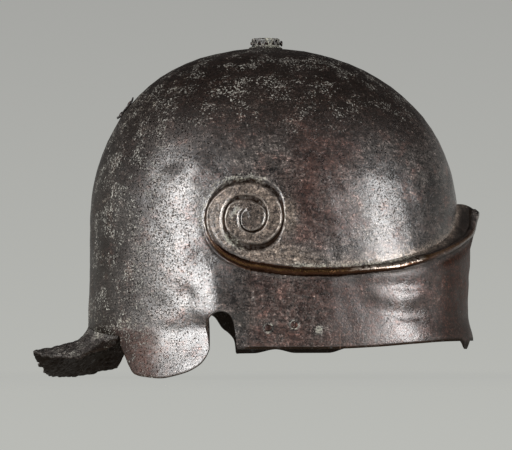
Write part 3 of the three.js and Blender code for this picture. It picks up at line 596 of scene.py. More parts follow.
def shade_and_grime_mask(at):
    """Painted shade in the volute's grooves, beside and under the bead, just under the brow's edge, over the
    crown and the back and round the tooth; the ledge, the front of the band, the lobe's rear and the rims are
    also painted darker.
    """
    x, z, brow = at.x, at.z, at.brow
    root = brow_root_z(at.angle)
    on_ledge = smooth((brow - 1.6) / 1.5) * smooth((ledge_reach(at.angle) - 1.2) / 3)
    on_ledge = on_ledge * smooth((root - z) / 1.5 + 0.3)
    at.root_line = bump_at(z - root - 1.0, 2.8) * smooth((x - 62) / 26) * smooth((138 - x) / 8)
    from_tooth = np.abs(at.angle % FULL_TURN - TOOTH_ANGLE - FULL_TURN) * BOWL_HALF_LENGTH
    # The crown and the back are painted darker as shade, the tooth nearly black as shade, and the lobe's rear
    # darker
    dark = 0.74 * at.high * smooth((150 - x) / 60) + 0.4 * at.back * (1 - at.high)
    dark = dark + bump_at(from_tooth, 6) * smooth((24 - z) / 1.5) + 0.4 * at.lobe_rear
    # The front of the band and a stretch behind it are painted darker, so is the rear, and a strip just under
    # the brow's edge is painted shade
    on_band = 0.8 * smooth((x - 98) / 18) + 0.34 * smooth((x - 34) / 14) * smooth((78 - x) / 12)
    dark = dark + on_band * at.band
    dark = dark + 0.3 * smooth((-84 - x) / 12) + 0.4 * bump_at(brow + 5, 3.5) * smooth((x - 66) / 12)
    # Painted shade in the volute's grooves and beside the bead, and darker on the ledge
    grime = 0.45 * at.crease * at.on_side + 0.5 * at.bead_side + 0.7 * on_ledge + dark
    grime = np.clip(grime, 0, 1) * (1 - 0.6 * at.root_line)
    # A dark line is painted along the rim, wider along the band
    grime[-1:] = 1.0
    grime[-2:] = np.maximum(grime[-2:], smooth((x[-2:] + 14) / 4))
    return grime


def colour_masks(at, clear):
    """Tan on the volute and the brow, with a painted highlight beside the volute, and red on the band and the
    front of the bowl.
    """
    x, z, rho = at.x, at.z, at.rho
    eye = smooth((10 - rho) / 3)
    ring = at.face * (1 - 0.55 * eye) * (1 - 0.75 * smooth((x - 14) / 26) * smooth((rho - 20) / 6))
    # A pale spot right of the volute is a painted highlight
    worn = np.clip(1.9 * spot(x, z, 14.5, 97.5, 4.2, 8), 0, 1) * at.near
    tan = 0.9 * ring + 0.5 * at.tail + worn + 0.85 * at.above_brow + 0.9 * at.root_line
    front = smooth((x - 6) / 22) * smooth((z - 72) / 20) * smooth((165 - z) / 40) * smooth((64 - x) / 18)
    red = (0.8 + 0.2 * smooth((x - 98) / 12)) * at.band + 0.85 * front + 0.25 * at.high + 0.7 * at.lobe_rear
    return np.clip(tan, 0, 1) * clear, np.clip(red, 0, 1) * (1 - at.face) * clear * (1 - worn)


def skull_masks(at):
    """How much speck, pit, crust, painted shade and grime, tan, red, wear and painted gleam each place of the
    sheet carries.
    """
    x, z = at.x, at.z
    at.high = smooth((z - 122) / 55)
    at.back = smooth((-40 - x) / 42)
    at.band = smooth((-at.brow - 2) / 5) * smooth((x + 14) / 12)
    at.lobe_rear = smooth((-58 - x) / 12) * smooth((36 - z) / 10) * at.near
    specks = 0.16 + 0.8 * at.high + 0.8 * at.back
    specks = specks * mix(1.0, 0.35, smooth((x - 40) / 40) * smooth((170 - z) / 30))
    specks = specks * (1 - 0.55 * at.band) * (1 - 0.6 * at.face)
    pits = 0.5 + 0.35 * smooth((x + 100) / 40) * smooth((-20 - x) / 30) + 0.3 * at.high + 0.3 * at.back
    pits = pits + 0.3 * smooth((x - 44) / 26) * smooth((at.brow - 12) / 10) * (1 - at.high)
    pits = pits * (1 - 0.4 * at.face) * mix(1, 0.75, smooth((46 - z) / 16))
    crust, grown = crust_masks(at)
    grime = shade_and_grime_mask(at)
    solid = 1 - smooth((grime - 0.72) / 0.2) * smooth((45 - z) / 4)
    shadow = np.clip(at.crease * at.on_side + at.bead_side + smooth(at.bead / 0.35), 0, 1)
    tan, red = colour_masks(at, (1 - shadow) * solid * (1 - np.clip(1.2 * grown, 0, 0.95)))
    masks = {
        "speck_amount": np.clip(specks, 0, 1), "pit_amount": np.clip(pits, 0, 1),
        "crust_amount": np.clip(crust, 0, 1), "grime": grime, "tan": tan, "red": red,
        # Where the bead's rubbed line is painted as a gleam
        "gleam": smooth((x - 48) / 12) * smooth((98 - x) / 3),
        "scratched": bump_at(x - 44.5, 6) * smooth((62 - z) / 8) * at.band * at.near,
    }
    for name in ("line_cos", "line_sin", "line_width", "line_amount", "lip_amount", "bead_along", "bead_run"):
        masks[name] = getattr(at, name)
    return masks


def millimetres(name, description, default, low, high):
    return bpy.props.FloatProperty(
        name=name, description=f"{description}, in millimetres", default=default, min=low, max=high)


def patina_colour(name, description, default):
    return bpy.props.FloatVectorProperty(
        name=name, description=description, subtype="COLOR", default=default, min=0.0, max=1.0)


class HelmetSizes(bpy.types.PropertyGroup):
    """Sizes of the hammered details."""

    step_height: millimetres("Volute height", "How far the volute stands out of the bowl", 2.0, 0.2, 4.0)
    groove_depth: millimetres("Groove depth", "Depth of the line between the turns", 0.8, 0.1, 2.0)
    furrow_depth: millimetres("Flute depth", "Depth of the flutes on the front of the band", 1.15, 0.0, 3.0)
    hammer_depth: millimetres("Hammer marks", "Unevenness left by raising the bowl", 0.22, 0.0, 1.0)
    torn_depth: millimetres("Torn edges", "Roughness of the broken edges", 0.9, 0.0, 3.0)
    columns: bpy.props.IntProperty(
        name="Columns", description="Faces round the sheet", default=500, min=60, max=500)
    inner_rows: bpy.props.IntProperty(
        name="Inner rows", description="Rows of faces inside the sheet", default=28, min=8, max=90)


class HelmetFinish(bpy.types.PropertyGroup):
    """Colours of the bronze and of what has grown on it."""

    brown: patina_colour("Brown patina", "Main colour of the bowl", (0.028, 0.020, 0.017))
    red: patina_colour("Red patina", "Reddish oxide on the bowl and band", (0.058, 0.023, 0.016))
    grey: patina_colour("Grey patina", "Cooler, smoother patina", (0.080, 0.068, 0.061))
    tan: patina_colour("Tan patina", "Paler patina on the volutes", (0.270, 0.212, 0.169))
    gold: patina_colour("Rubbed bronze", "Metal that shows along the brow", (0.170, 0.092, 0.038))
    pale: patina_colour("Pale specks", "Chalky specks of corrosion", (0.400, 0.385, 0.335))
    green: patina_colour("Green crust", "Grey green corrosion", (0.410, 0.405, 0.320))


class StudioSettings(bpy.types.PropertyGroup):
    """Where the camera stands and what it sees."""

    distance: bpy.props.FloatProperty(
        name="Camera distance", description="From the camera to the helmet", unit="LENGTH", default=2.0)
    azimuth: bpy.props.FloatProperty(
        name="Azimuth", description="Turn of the camera about the helmet", subtype="ANGLE",
        default=math.radians(-3.0))
    elevation: bpy.props.FloatProperty(
        name="Elevation", description="Height of the camera as an angle", subtype="ANGLE",
        default=math.radians(-1.9))
    target_z: bpy.props.FloatProperty(
        name="Aim height", description="Height that the camera looks at", unit="LENGTH", default=0.0956)
    field_width: bpy.props.FloatProperty(
        name="Field width", description="Width of the picture at the helmet", unit="LENGTH", default=0.32)


# Mesh helpers


def deselect_everything():
    if bpy.context.object and bpy.context.object.mode != "OBJECT":
        bpy.ops.object.mode_set(mode="OBJECT")
    bpy.ops.object.select_all(action="DESELECT")


def make_active(piece):
    deselect_everything()
    piece.select_set(True)
    bpy.context.view_layer.objects.active = piece


def named_new(name):
    """The object that an operator has just added, with its name given to it and to its mesh."""
    piece = bpy.context.object
    piece.name = name
    piece.data.name = name
    return piece


def vertex_vectors(piece, kind):
    values = np.zeros(len(piece.data.vertices) * 3)
    piece.data.vertices.foreach_get(kind, values)
    return values.reshape(-1, 3)


def lay_vertices(piece, points):
    piece.data.vertices.foreach_set("co", np.ascontiguousarray(points, dtype=float).ravel())
    piece.data.update()


def set_attribute(piece, name, values):
    layer = piece.data.attributes.get(name) or piece.data.attributes.new(name, "FLOAT", "POINT")
    layer.data.foreach_set("value", np.ascontiguousarray(values, dtype=np.float32))


def get_attribute(piece, name):
    values = np.zeros(len(piece.data.vertices), np.float32)
    piece.data.attributes[name].data.foreach_get("value", values)
    return values


def edit_all(piece, *steps):
    """Runs edit-mode operators, each with the whole mesh selected."""
    make_active(piece)
    bpy.ops.object.mode_set(mode="EDIT")
    for step in steps:
        bpy.ops.mesh.select_all(action="SELECT")
        step()
    bpy.ops.object.mode_set(mode="OBJECT")


def merge_doubles():
    bpy.ops.mesh.remove_doubles(threshold=MERGE_DISTANCE)


def recalculate_normals():
    bpy.ops.mesh.normals_make_consistent(inside=False)


def spin_round(sides):
    return lambda: bpy.ops.mesh.spin(steps=sides, angle=FULL_TURN, center=(0, 0, 0), axis=(0, 0, 1))


def apply_modifier(piece, kind, name, **settings):
    make_active(piece)
    modifier = piece.modifiers.new(name, kind)
    for key, value in settings.items():
        setattr(modifier, key, value)
    bpy.ops.object.modifier_apply(modifier=modifier.name)


def shade_smooth(piece, angle):
    make_active(piece)
    bpy.ops.object.shade_smooth_by_angle(angle=math.radians(angle))


def turn_outwards(piece):
    """Makes the faces of a sheet point away from the middle of the helmet."""
    mesh = bmesh.new()
    mesh.from_mesh(piece.data)
    middle = Vector((BOWL_MIDDLE_X, 0, WAIST_Z)) * MM
    away = 0.0
    for face in mesh.faces:
        away += (face.calc_center_median() - middle).dot(face.normal) * face.calc_area()
    if away < 0:
        bmesh.ops.reverse_faces(mesh, faces=mesh.faces)
    mesh.to_mesh(piece.data)
    mesh.free()


def lay_sheet(name, points, fields):
    """A grid primitive laid on rows of points in millimetres, with values stored on its vertices."""
    rows, columns = points.shape[0] - 1, points.shape[1] - 1
    deselect_everything()
    bpy.ops.mesh.primitive_grid_add(x_subdivisions=columns, y_subdivisions=rows, size=1, location=(0, 0, 0))
    piece = named_new(name)
    start = vertex_vectors(piece, "co")
    row = np.rint((0.5 - start[:, 1]) * rows).astype(int)
    column = np.rint((start[:, 0] + 0.5) * columns).astype(int)
    lay_vertices(piece, points[row, column] * MM)
    for field, values in fields.items():
        set_attribute(piece, field, values[row, column])
    turn_outwards(piece)
    return piece


def surface_normals(points, closed):
    """Outward directions of a grid of points, rows from the top and columns anticlockwise."""
    if closed:
        along = np.roll(points, -1, 1) - np.roll(points, 1, 1)
    else:
        along = np.gradient(points, axis=1)
    normal = np.cross(np.gradient(points, axis=0), along)
    return normal / np.maximum(np.linalg.norm(normal, axis=-1, keepdims=True), 1e-9)


def seat_on(point_at, angle, z):
    """A place on a face of the helmet, and the outward direction there."""
    step = 0.01
    around = point_at(angle + step, z) - point_at(angle - step, z)
    up = point_at(angle, z + step * 90) - point_at(angle, z - step * 90)
    normal = np.cross(around, up)
    return point_at(angle, z), normal / np.linalg.norm(normal)


def finish_piece(piece, material, slot, *nodes):
    piece.data.materials.clear()
    piece.data.materials.append(material)
    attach(piece, "root")
    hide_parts(*nodes)


# Materials


class Value:
    """A value of a node tree, which takes part in sums like a number."""

    def __init__(self, nodes, socket):
        self.nodes = nodes
        self.socket = socket

    def __add__(self, other):
        return self.nodes.math("ADD", self, other)

    def __sub__(self, other):
        return self.nodes.math("SUBTRACT", self, other)

    def __rsub__(self, other):
        return self.nodes.math("SUBTRACT", other, self)

    def __mul__(self, other):
        return self.nodes.math("MULTIPLY", self, other)

    def __truediv__(self, other):
        return self.nodes.math("DIVIDE", self, other)

    def __abs__(self):
        return self.nodes.math("ABSOLUTE", self)

    def __radd__(self, other):
        return self + other if other else self

    def at_least(self, other):
        return self.nodes.math("MAXIMUM", self, other)

    def clamped(self):
        self.socket.node.use_clamp = True
        return self


class Nodes:
    """Adds nodes to one tree and links them."""

    def __init__(self, tree):
        self.tree = tree

    def add(self, kind, **settings):
        made = self.tree.nodes.new(kind)
        for key, value in settings.items():
            setattr(made, key, value)
        return made

    def feed(self, made, **inputs):
        """Links or sets inputs of a node by name, with spaces as underscores."""
        for name, value in inputs.items():
            self.feed_socket(made.inputs[name.replace("_", " ")], value)

    def feed_socket(self, socket, value):
        if isinstance(value, Value):
            self.tree.links.new(value.socket, socket)
        elif socket.type == "RGBA":
            socket.default_value = (*value[:3], 1)
        else:
            socket.default_value = value

    def output(self, made, name=0):
        return Value(self, made.outputs[name])

    def made(self, kind, values, **settings):
        """The first output of a new node, with its inputs fed in order."""
        node = self.add(kind, **settings)
        for socket, value in zip(node.inputs, values):
            self.feed_socket(socket, value)
        return self.output(node)

    def math(self, operation, *values):
        return self.made("ShaderNodeMath", values, operation=operation)

    def stretched(self, vector, factors):
        return self.made("ShaderNodeVectorMath", (vector, factors), operation="MULTIPLY")

    def scaled(self, vector, factor):
        node = self.add("ShaderNodeVectorMath", operation="SCALE")
        self.feed_socket(node.inputs[0], vector)
        self.feed(node, Scale=factor)
        return self.output(node)

    def noise(self, coords, scale, detail=3.0, roughness=0.55):
        node = self.add("ShaderNodeTexNoise")
        self.feed(node, Vector=coords, Scale=scale, Detail=detail, Roughness=roughness)
        return self.output(node, "Fac")

    def ramp(self, value, low, high, kind="SMOOTHSTEP"):
        return self.made("ShaderNodeMapRange", (value, low, high), interpolation_type=kind)

    def blend(self, share, first, second):
        node = self.add("ShaderNodeMix", data_type="RGBA")
        for index, value in ((0, share), (6, first), (7, second)):
            self.feed_socket(node.inputs[index], value)
        return self.output(node, 2)

    def mix_shaders(self, share, first, second):
        return self.made("ShaderNodeMixShader", (share, first, second))

    def attribute(self, name):
        return self.output(self.add("ShaderNodeAttribute", attribute_name=name), "Fac")

    def coords(self, kind):
        return self.output(self.add("ShaderNodeTexCoord"), kind)


def about_middle(*terms):
    """Sum of noises about their middle value, each times its weight."""
    return sum((value - 0.5) * weight for value, weight in terms)


def spots(field, level, amount, drop, sharpness):
    """Spots where a noise passes a level, which the amount lowers."""
    return ((field - (level - amount * drop)) * sharpness).clamped()


def new_group(name, sockets):
    group = bpy.data.node_groups.new(name, "ShaderNodeTree")
    for way, kind, labels in sockets:
        for label in labels:
            group.interface.new_socket(name=label, in_out=way, socket_type=f"NodeSocket{kind}")
    return group


def patina_group():
    """Mottled patina: colour, roughness, metalness and height from a few named colours."""
    if "bronze_patina" in bpy.data.node_groups:
        return bpy.data.node_groups["bronze_patina"]
    group = new_group("bronze_patina", (
        ("INPUT", "Color", PATINA_COLOURS), ("INPUT", "Float", PATINA_AMOUNTS),
        ("INPUT", "Vector", ("Vector",)),
        ("OUTPUT", "Color", ("Colour",)), ("OUTPUT", "Float", ("Roughness", "Metalness", "Height", "Tone"))))
    nodes = Nodes(group)
    given = {socket.name: Value(nodes, socket) for socket in nodes.add("NodeGroupInput").outputs}
    coords = given["Vector"]
    drawn = nodes.stretched(coords, (0.22, 0.22, 1.5))
    clouds = nodes.noise(coords, 24, 4, 0.6)
    patches = nodes.noise(coords, 80, 5, 0.66)
    mottle = nodes.noise(coords, 330, 4, 0.66)
    grain = nodes.noise(coords, 950, 3, 0.62)
    fine = nodes.noise(coords, 1800, 2, 0.6)
    streaks = nodes.noise(drawn, 520, 3, 0.6)

    colour = nodes.blend(nodes.ramp(clouds, 0.42, 0.62), given["Main"], given["Second"])
    colour = nodes.blend(nodes.ramp(patches, 0.5, 0.7) * 0.6, colour, given["Third"])
    tone = about_middle((patches, 0.6), (mottle, 1.2), (grain, 1.6), (fine, 1.0), (streaks, 0.8))
    tone = tone * given["Grain"]
    colour = nodes.scaled(colour, nodes.math("POWER", 10.0, tone))
    # Painted shade and grime darken the colour and dull its reflection where the mask asks for them
    grime = given["Grime"] * nodes.ramp(mottle, 0.1, 0.45)
    colour = nodes.blend(grime, colour, SHADE_AND_GRIME_COLOUR)

    crust_field = about_middle((patches, 0.35), (mottle, 0.5), (grain, 0.45))
    crust = spots(crust_field, 0.17, given["Crust Amount"], 0.3, 9.0)
    colour = nodes.blend(crust * nodes.ramp(grain, 0.3, 0.7), colour, given["Crust"])

    clusters = about_middle((nodes.noise(coords, 85, 4, 0.65), 0.95), (nodes.noise(drawn, 170, 4, 0.6), 0.35))
    speck_level = given["Speck Amount"] * nodes.ramp(clusters + 0.5, 0.38, 0.62)
    speck_field = about_middle((mottle, 0.35), (nodes.noise(coords, 880, 2.5, 0.65), 1.0))
    specks = spots(speck_field, 0.22, speck_level, 0.2, 14.0)
    colour = nodes.blend(specks * 0.8, colour, given["Specks"])
    blotch_field = about_middle((nodes.noise(coords, 300, 3, 0.6), 1.0), (grain, 0.55))
    blotches = spots(blotch_field, 0.27, speck_level, 0.17, 9.0)
    specks = specks.at_least(blotches * 0.6)
    colour = nodes.blend(blotches * 0.42, colour, given["Specks"])

    pit_field = about_middle((mottle, 0.35), (nodes.noise(coords, 1150, 2.0, 0.55), 1.0))
    pits = spots(pit_field, 0.23, given["Pit Amount"], 0.19, 12.0)
    colour = nodes.blend(pits * 0.85, colour, PIT_COLOUR)

    rough = about_middle((clouds, 0.1), (patches, 0.2), (mottle, 0.16), (grain, 0.2))
    rough = given["Base Roughness"] + rough
    shiny = 1.0 - specks.at_least(crust * 0.75)
    metal = (given["Base Metalness"] * shiny).at_least(pits.at_least(grime * shiny)).clamped()
    height = about_middle((mottle, 0.9), (grain, 0.8), (fine, 0.25))
    nodes.feed(nodes.add("NodeGroupOutput"), Colour=colour, Metalness=metal,
               Roughness=rough + specks * 0.35 + crust * 0.35 + grime * 0.3,
               Height=height + specks * 0.35 + crust * 0.5 - pits * 0.7,
               Tone=nodes.math("POWER", 10.0, tone * 0.6))
    return group


def patina_outputs(nodes, patina):
    return [nodes.output(patina, label) for label in ("Colour", "Metalness", "Height")]


def volute_marks(nodes, place):
    """Painted shade in the cores of the volute's lines and painted highlights on their lips."""
    turn = nodes.math("ARCTAN2", nodes.attribute("line_sin"), nodes.attribute("line_cos"))
    wander = about_middle((nodes.noise(place, 260, 3, 0.6), 0.9), (nodes.noise(place, 900, 2, 0.6), 0.6))
    away = abs(turn * (LINE_REACH / HALF_TURN) + wander)
    width = nodes.attribute("line_width")
    amount = nodes.attribute("line_amount")
    groove_shade = nodes.ramp(away / width, 1.05, 0.5)
    lip = nodes.ramp(abs(away - width * 1.35 - 0.3), 0.6, 0.1) * nodes.attribute("lip_amount")
    broken = nodes.ramp(nodes.noise(place, 300, 3, 0.6), 0.4, 0.6)
    return groove_shade * amount, lip * broken * amount


def bead_marks(nodes, place):
    """Brown band, painted shadow along its lower edge, and rubbed line of the bead along the volute and the
    brow.
    """
    wander = about_middle((nodes.noise(place, 180, 3, 0.6), 1.6), (nodes.noise(place, 800, 2, 0.6), 1.0))
    along = nodes.attribute("bead_along") + wander
    across = abs(along)
    run = nodes.attribute("bead_run")
    band = nodes.ramp(across, 3.1, 2.3)
    edge = nodes.ramp(abs(across - 2.35), 0.8, 0.1) * nodes.ramp(along, 2.6, -1.5)
    broken = nodes.ramp(nodes.noise(place, 420, 4, 0.65), 0.34, 0.52)
    rubbed = nodes.ramp(abs(along - 0.3), 0.95, 0.35) * broken
    return band * run, edge * run, rubbed * run


def marked_sheet(nodes, patina, place):
    """Colour, metalness and height of the sheet: its patina with the marks that its attributes place."""
    finish = bpy.context.scene.helmet_finish
    for label in STEERED_AMOUNTS:
        nodes.feed_socket(patina.inputs[label], nodes.attribute(label.lower().replace(" ", "_")))
    colour, metal, height = patina_outputs(nodes, patina)
    tone = nodes.output(patina, "Tone")
    mottled = nodes.noise(place, 420, 5, 0.7)
    for name in ("tan", "red"):
        share = nodes.attribute(name) * nodes.ramp(mottled, 0.3, 0.6) * 0.85
        colour = nodes.blend(share, colour, nodes.scaled(tuple(getattr(finish, name)), tone))
    # Painted shade in the cores of the volute's lines and painted highlights on their lips
    groove_shade, lip = volute_marks(nodes, place)
    # The bead's brown band, a painted shadow along its lower edge, and its rubbed line
    band, edge, rubbed = bead_marks(nodes, place)
    crusted = nodes.ramp(nodes.attribute("crust_amount"), 0.12, 0.34) * nodes.ramp(mottled, 0.42, 0.6)
    groove_shade_seen = groove_shade * (0.95 - crusted * 0.7)
    scratches = nodes.noise(nodes.stretched(place, (1.0, 0.3, 0.03)), 620, 2, 0.5)
    scratches = nodes.ramp(scratches, 0.55, 0.66) * nodes.attribute("scratched")
    # The rubbed bronze of the bead turns to a painted gleam along the front of the brow
    rubbed_and_gleam_colour = nodes.blend(nodes.attribute("gleam"), tuple(finish.gold), GLEAM_COLOUR)
    for mark, strength, mark_colour in (
            (lip, 0.85, LIP_HIGHLIGHT_COLOUR), (groove_shade_seen, 1.0, GROOVE_SHADE_COLOUR), (band, 0.92, BAND_COLOUR),
            (edge, 0.8, BEAD_SHADOW_COLOUR), (rubbed, 0.85, rubbed_and_gleam_colour), (scratches, 0.5, SCRATCH_COLOUR)):
        colour = nodes.blend(mark * strength, colour, mark_colour)
    for mark in (groove_shade_seen, band, edge, rubbed):
        metal = metal.at_least(mark)
    return colour, metal, height + (lip * 0.9 - groove_shade.at_least(edge * 0.6) * 2.0)


def bronze_material(name, colours, amounts, relief, steered=False):
    """Bronze with the shared patina. A steered one also reads the attributes of its sheet."""
    if name in bpy.data.materials:
        return bpy.data.materials[name]
    material = bpy.data.materials.new(name)
    material.use_nodes = True
    nodes = Nodes(material.node_tree)
    shader = material.node_tree.nodes["Principled BSDF"]
    finish = bpy.context.scene.helmet_finish
    patina = nodes.add("ShaderNodeGroup", node_tree=patina_group())
    place = nodes.coords("Object")
    nodes.feed(patina, Vector=place, **amounts)
    for label, colour in zip(PATINA_COLOURS, colours):
        nodes.feed_socket(patina.inputs[label], getattr(finish, colour))
    if steered:
        colour, metal, height = marked_sheet(nodes, patina, place)
    else:
        colour, metal, height = patina_outputs(nodes, patina)
    bump = nodes.add("ShaderNodeBump")
    nodes.feed(bump, Strength=1.0, Distance=relief * MM, Height=height)
    nodes.feed(shader, Base_Color=colour, Metallic=metal, IOR=BRONZE_IOR,
               Roughness=nodes.output(patina, "Roughness"), Normal=nodes.output(bump))
    return material


def skull_material():
    return bronze_material("hammered_patina", ("brown", "grey", "red", "pale", "green"), {
        "Speck_Amount": 0.4, "Pit_Amount": 0.4, "Crust_Amount": 0.0, "Grain": 1.75,
        "Base_Roughness": 0.29, "Base_Metalness": 0.25}, 0.16, steered=True)


def guard_material():
    return bronze_material("broken_patina", ("grey", "brown", "pale", "pale", "green"), {
        "Speck_Amount": 0.7, "Pit_Amount": 0.8, "Crust_Amount": 0.4, "Grain": 1.6,
        "Base_Roughness": 0.45, "Base_Metalness": 0.25}, 0.5, steered=True)


def crusted_material():
    return bronze_material("crusted_patina", ("brown", "brown", "grey", "pale", "green"), {
        "Speck_Amount": 0.4, "Pit_Amount": 0.8, "Crust_Amount": 0.2, "Grain": 1.3,
        "Base_Roughness": 0.5, "Base_Metalness": 0.25}, 0.45)


def green_material():
    return bronze_material("green_patina", ("grey", "brown", "green", "pale", "green"), {
        "Speck_Amount": 0.85, "Pit_Amount": 0.8, "Crust_Amount": 0.55, "Grain": 1.3,
        "Base_Roughness": 0.55, "Base_Metalness": 0.3}, 0.2)


def rivet_material():
    return bronze_material("rivet_patina", ("brown", "red", "brown", "pale", "green"), {
        "Speck_Amount": 0.25, "Pit_Amount": 0.6, "Crust_Amount": 0.1, "Grain": 1.0,
        "Base_Roughness": 0.42, "Base_Metalness": 0.8}, 0.08)


# Pieces


def row_shares(count):
    return np.arange(1, count + 1) / count


def skull_rows(columns):
    """Outer face of the sheet before relief, as rows of points with the angle of each."""
    calm, rim_angle, rim_z = resampled_rim(columns)
    edge_z = brow_edge_z(calm)
    root_z = brow_root_z(calm)
    root_lift = meridian_lift(root_z)
    low_lift = meridian_lift(np.maximum(root_z + 8, 131.0))
    rows = []
    for share in (np.arange(1, CROWN_ROWS + 1) - 0.6) / (CROWN_ROWS - 0.6):
        rows.append((bowl_point(calm, meridian_z(mix(HALF_TURN / 2, low_lift, share))), calm))
    for share in row_shares(SIDE_ROWS):
        rows.append((bowl_point(calm, meridian_z(mix(low_lift, root_lift, share))), calm))
    reach = ledge_reach(calm)
    out = reach / BROW_REACH
    for row in row_shares(LEDGE_ROWS):
        share = 1 - (1 - row) ** mix(1.0, 1.9, out)
        fall = share ** (1 + 0.15 * out + 1.9 * smooth((out - 0.6) / 0.35))
        rows.append((bowl_point(calm, mix(root_z, edge_z, fall), reach * share ** 1.1), calm))
    under_z = edge_z - UNDERCUT * mix(0.45, 1, out)
    edge = brow_edge(calm)
    foot = lower_point(calm, under_z)
    blunt = smooth((edge[..., 0] - 124) / 12)[..., None]
    for share in row_shares(UNDER_ROWS) ** 1.5:
        point = mix(foot, edge, mix((1 - share) ** 2.2, 1 - share ** 2.9, blunt))
        point[..., 2] = mix(edge_z, under_z, share)
        rows.append((point, calm))
    for share in row_shares(BAND_ROWS):
        angle = mix(calm, rim_angle, share ** 1.6)
        rows.append((lower_point(angle, mix(under_z, rim_z, share)), angle))
    return [np.array(part) for part in zip(*rows)]


def closed_round(rows):
    """Rows of a closed sheet, with one more at each end and the first column again as the last."""
    rows = np.concatenate([rows[:1], rows, rows[-1:]])
    return np.concatenate([rows, rows[:, :1]], axis=1)


class HELMET_OT_skull(bpy.types.Operator):
    """Raises the bowl with its brow ledge, band, volutes, ear notches and lobes from one grid"""

    bl_idname = "helmet.skull"
    bl_label = "Skull"

    def execute(self, context):
        sizes = context.scene.helmet_sizes
        points, angles = skull_rows(sizes.columns)
        normals = surface_normals(points, True)
        relief, at = skull_relief(points, angles, sizes)
        relief = relief[..., None]
        outer = points + normals * relief
        inner = points - normals * np.maximum(WALL - 0.45 * relief, 1.1 - relief)
        # The inner face follows the outer one on fewer rows, from the rim back up to the crown
        kept = np.unique(np.rint(np.linspace(1, len(points) - 1, sizes.inner_rows)).astype(int))[::-1]
        laid = closed_round(np.concatenate([outer, inner[kept]]))
        laid[0] = (CREST_X, 0, CROWN_Z)
        laid[-1] = (CREST_X, 0, CROWN_Z - WALL)
        fields = {}
        for name, values in skull_masks(at).items():
            inside = np.full_like(values[kept], INSIDE_MASKS.get(name, 0.0))
            fields[name] = closed_round(np.concatenate([values, inside]))
        piece = lay_sheet("helmet_skull", laid, fields)
        edit_all(piece, merge_doubles)
        shade_smooth(piece, 55)
        finish_piece(piece, skull_material(), "patinated_bronze", "skull")
        return {"FINISHED"}


class HELMET_OT_neck_guard(bpy.types.Operator):
    """Forms the torn rear fragment of the neck guard"""

    bl_idname = "helmet.neck_guard"
    bl_label = "Neck guard fragment"

    def execute(self, context):
        points, t, from_right = self.formed(context.scene.helmet_sizes.torn_depth)
        fields = {name: np.full(points.shape[:2], outside) for name, outside, _ in GUARD_MASKS}
        # Painted shadow in the gap at the fragment's right end, beside the lobe
        fields["grime"] += 0.65 * smooth((0.17 - from_right) / 0.07) * smooth((t - 0.12) / 0.2)
        piece = lay_sheet("helmet_neck_guard", points, fields)
        outer_count = len(piece.data.vertices)
        apply_modifier(piece, "SOLIDIFY", "Wall", thickness=WALL * MM, offset=-1, use_rim=True,
                       use_even_offset=False)
        for name, _, inside in GUARD_MASKS:
            values = get_attribute(piece, name)
            values[outer_count:] = inside
            set_attribute(piece, name, values)
        shade_smooth(piece, 35)
        finish_piece(piece, guard_material(), "crusted_bronze", "neck_guard_fragment")
        return {"FINISHED"}

    @staticmethod
    def formed(torn_depth):
        """Points of the outer face, with how far down and how far from the right end each one is."""
        left, right = rear_angles()
        end_gap = 2 * CRACK_GAP / BOWL_HALF_WIDTH
        share = np.linspace(0, 1, GUARD_COLUMNS + 1)
        from_right = 1 - share
        place = np.arange(GUARD_COLUMNS + 1.0)
        torn = torn_depth * ripples(place, 0, 0, (0.6, 17, 21), (0.5, 7, 22), (0.25, 3.1, 23))
        jag = ripples(place, 0, 0, (0.6, 9, 24), (0.45, 4, 25))
        near_end = smooth(from_right / 0.04) * (1 - smooth((from_right - 0.34) / 0.06))
        reach_share = guard_reach_share(from_right)
        knee = GUARD_KNEE * reach_share
        reach = GUARD_REACH * reach_share * (1 - 0.13 * np.clip(jag, -0.25, 1) * near_end)
        top_z = crack_z(share) - 0.1 * CRACK_GAP
        edge_z = mix(GUARD_TIP_Z, GUARD_FLOOR_Z, guard_drop_share(from_right))
        knee_z = mix(top_z, edge_z, GUARD_KNEE_SHARE)
        t = np.linspace(0, 1, GUARD_ROWS + 1)[:, None]
        t = t * (1 - np.abs(torn) * 0.06 * smooth(reach / 8) * (1 - 0.8 * bump_at(from_right - 0.38, 0.06)))
        z = (1 - t) ** 2 * top_z + 2 * t * (1 - t) * knee_z + t ** 2 * edge_z
        out = 2 * t * (1 - t) * knee + t ** 2 * reach
        points = bowl_point(mix(left + end_gap, right - end_gap, share), z, out)
        swell = ripples(*np.moveaxis(points, -1, 0), (0.6, 14, 31), (0.5, 6, 32), (0.35, 3, 33))
        tucked = np.minimum(swell, 0.4) * smooth(t / 0.15)
        points = points + surface_normals(points, False) * tucked[..., None]
        points[..., 2] = np.maximum(points[..., 2], 0.9)
        return points, t, from_right


def turned_piece(name, outline, sides=40):
    """Spins a closed outline of radius and height pairs, in millimetres, about Z."""
    deselect_everything()
    bpy.ops.mesh.primitive_circle_add(vertices=len(outline), radius=1, fill_type="NOTHING")
    piece = named_new(name)
    lay_vertices(piece, [(radius * MM, 0, height * MM) for radius, height in outline])
    edit_all(piece, spin_round(sides), merge_doubles, recalculate_normals)
    clean_axis(piece)
    return piece


def clean_axis(piece):
    """Removes the flat faces and loose edges that a full outline leaves along the axis."""
    mesh = bmesh.new()
    mesh.from_mesh(piece.data)
    bmesh.ops.delete(mesh, geom=[edge for edge in mesh.edges if not edge.link_faces], context="EDGES")
    bmesh.ops.delete(mesh, geom=[face for face in mesh.faces if face.calc_area() < 1e-14], context="FACES")
    bmesh.ops.remove_doubles(mesh, verts=mesh.verts, dist=1e-7)
    bmesh.ops.recalc_face_normals(mesh, faces=mesh.faces)
    mesh.to_mesh(piece.data)
    mesh.free()


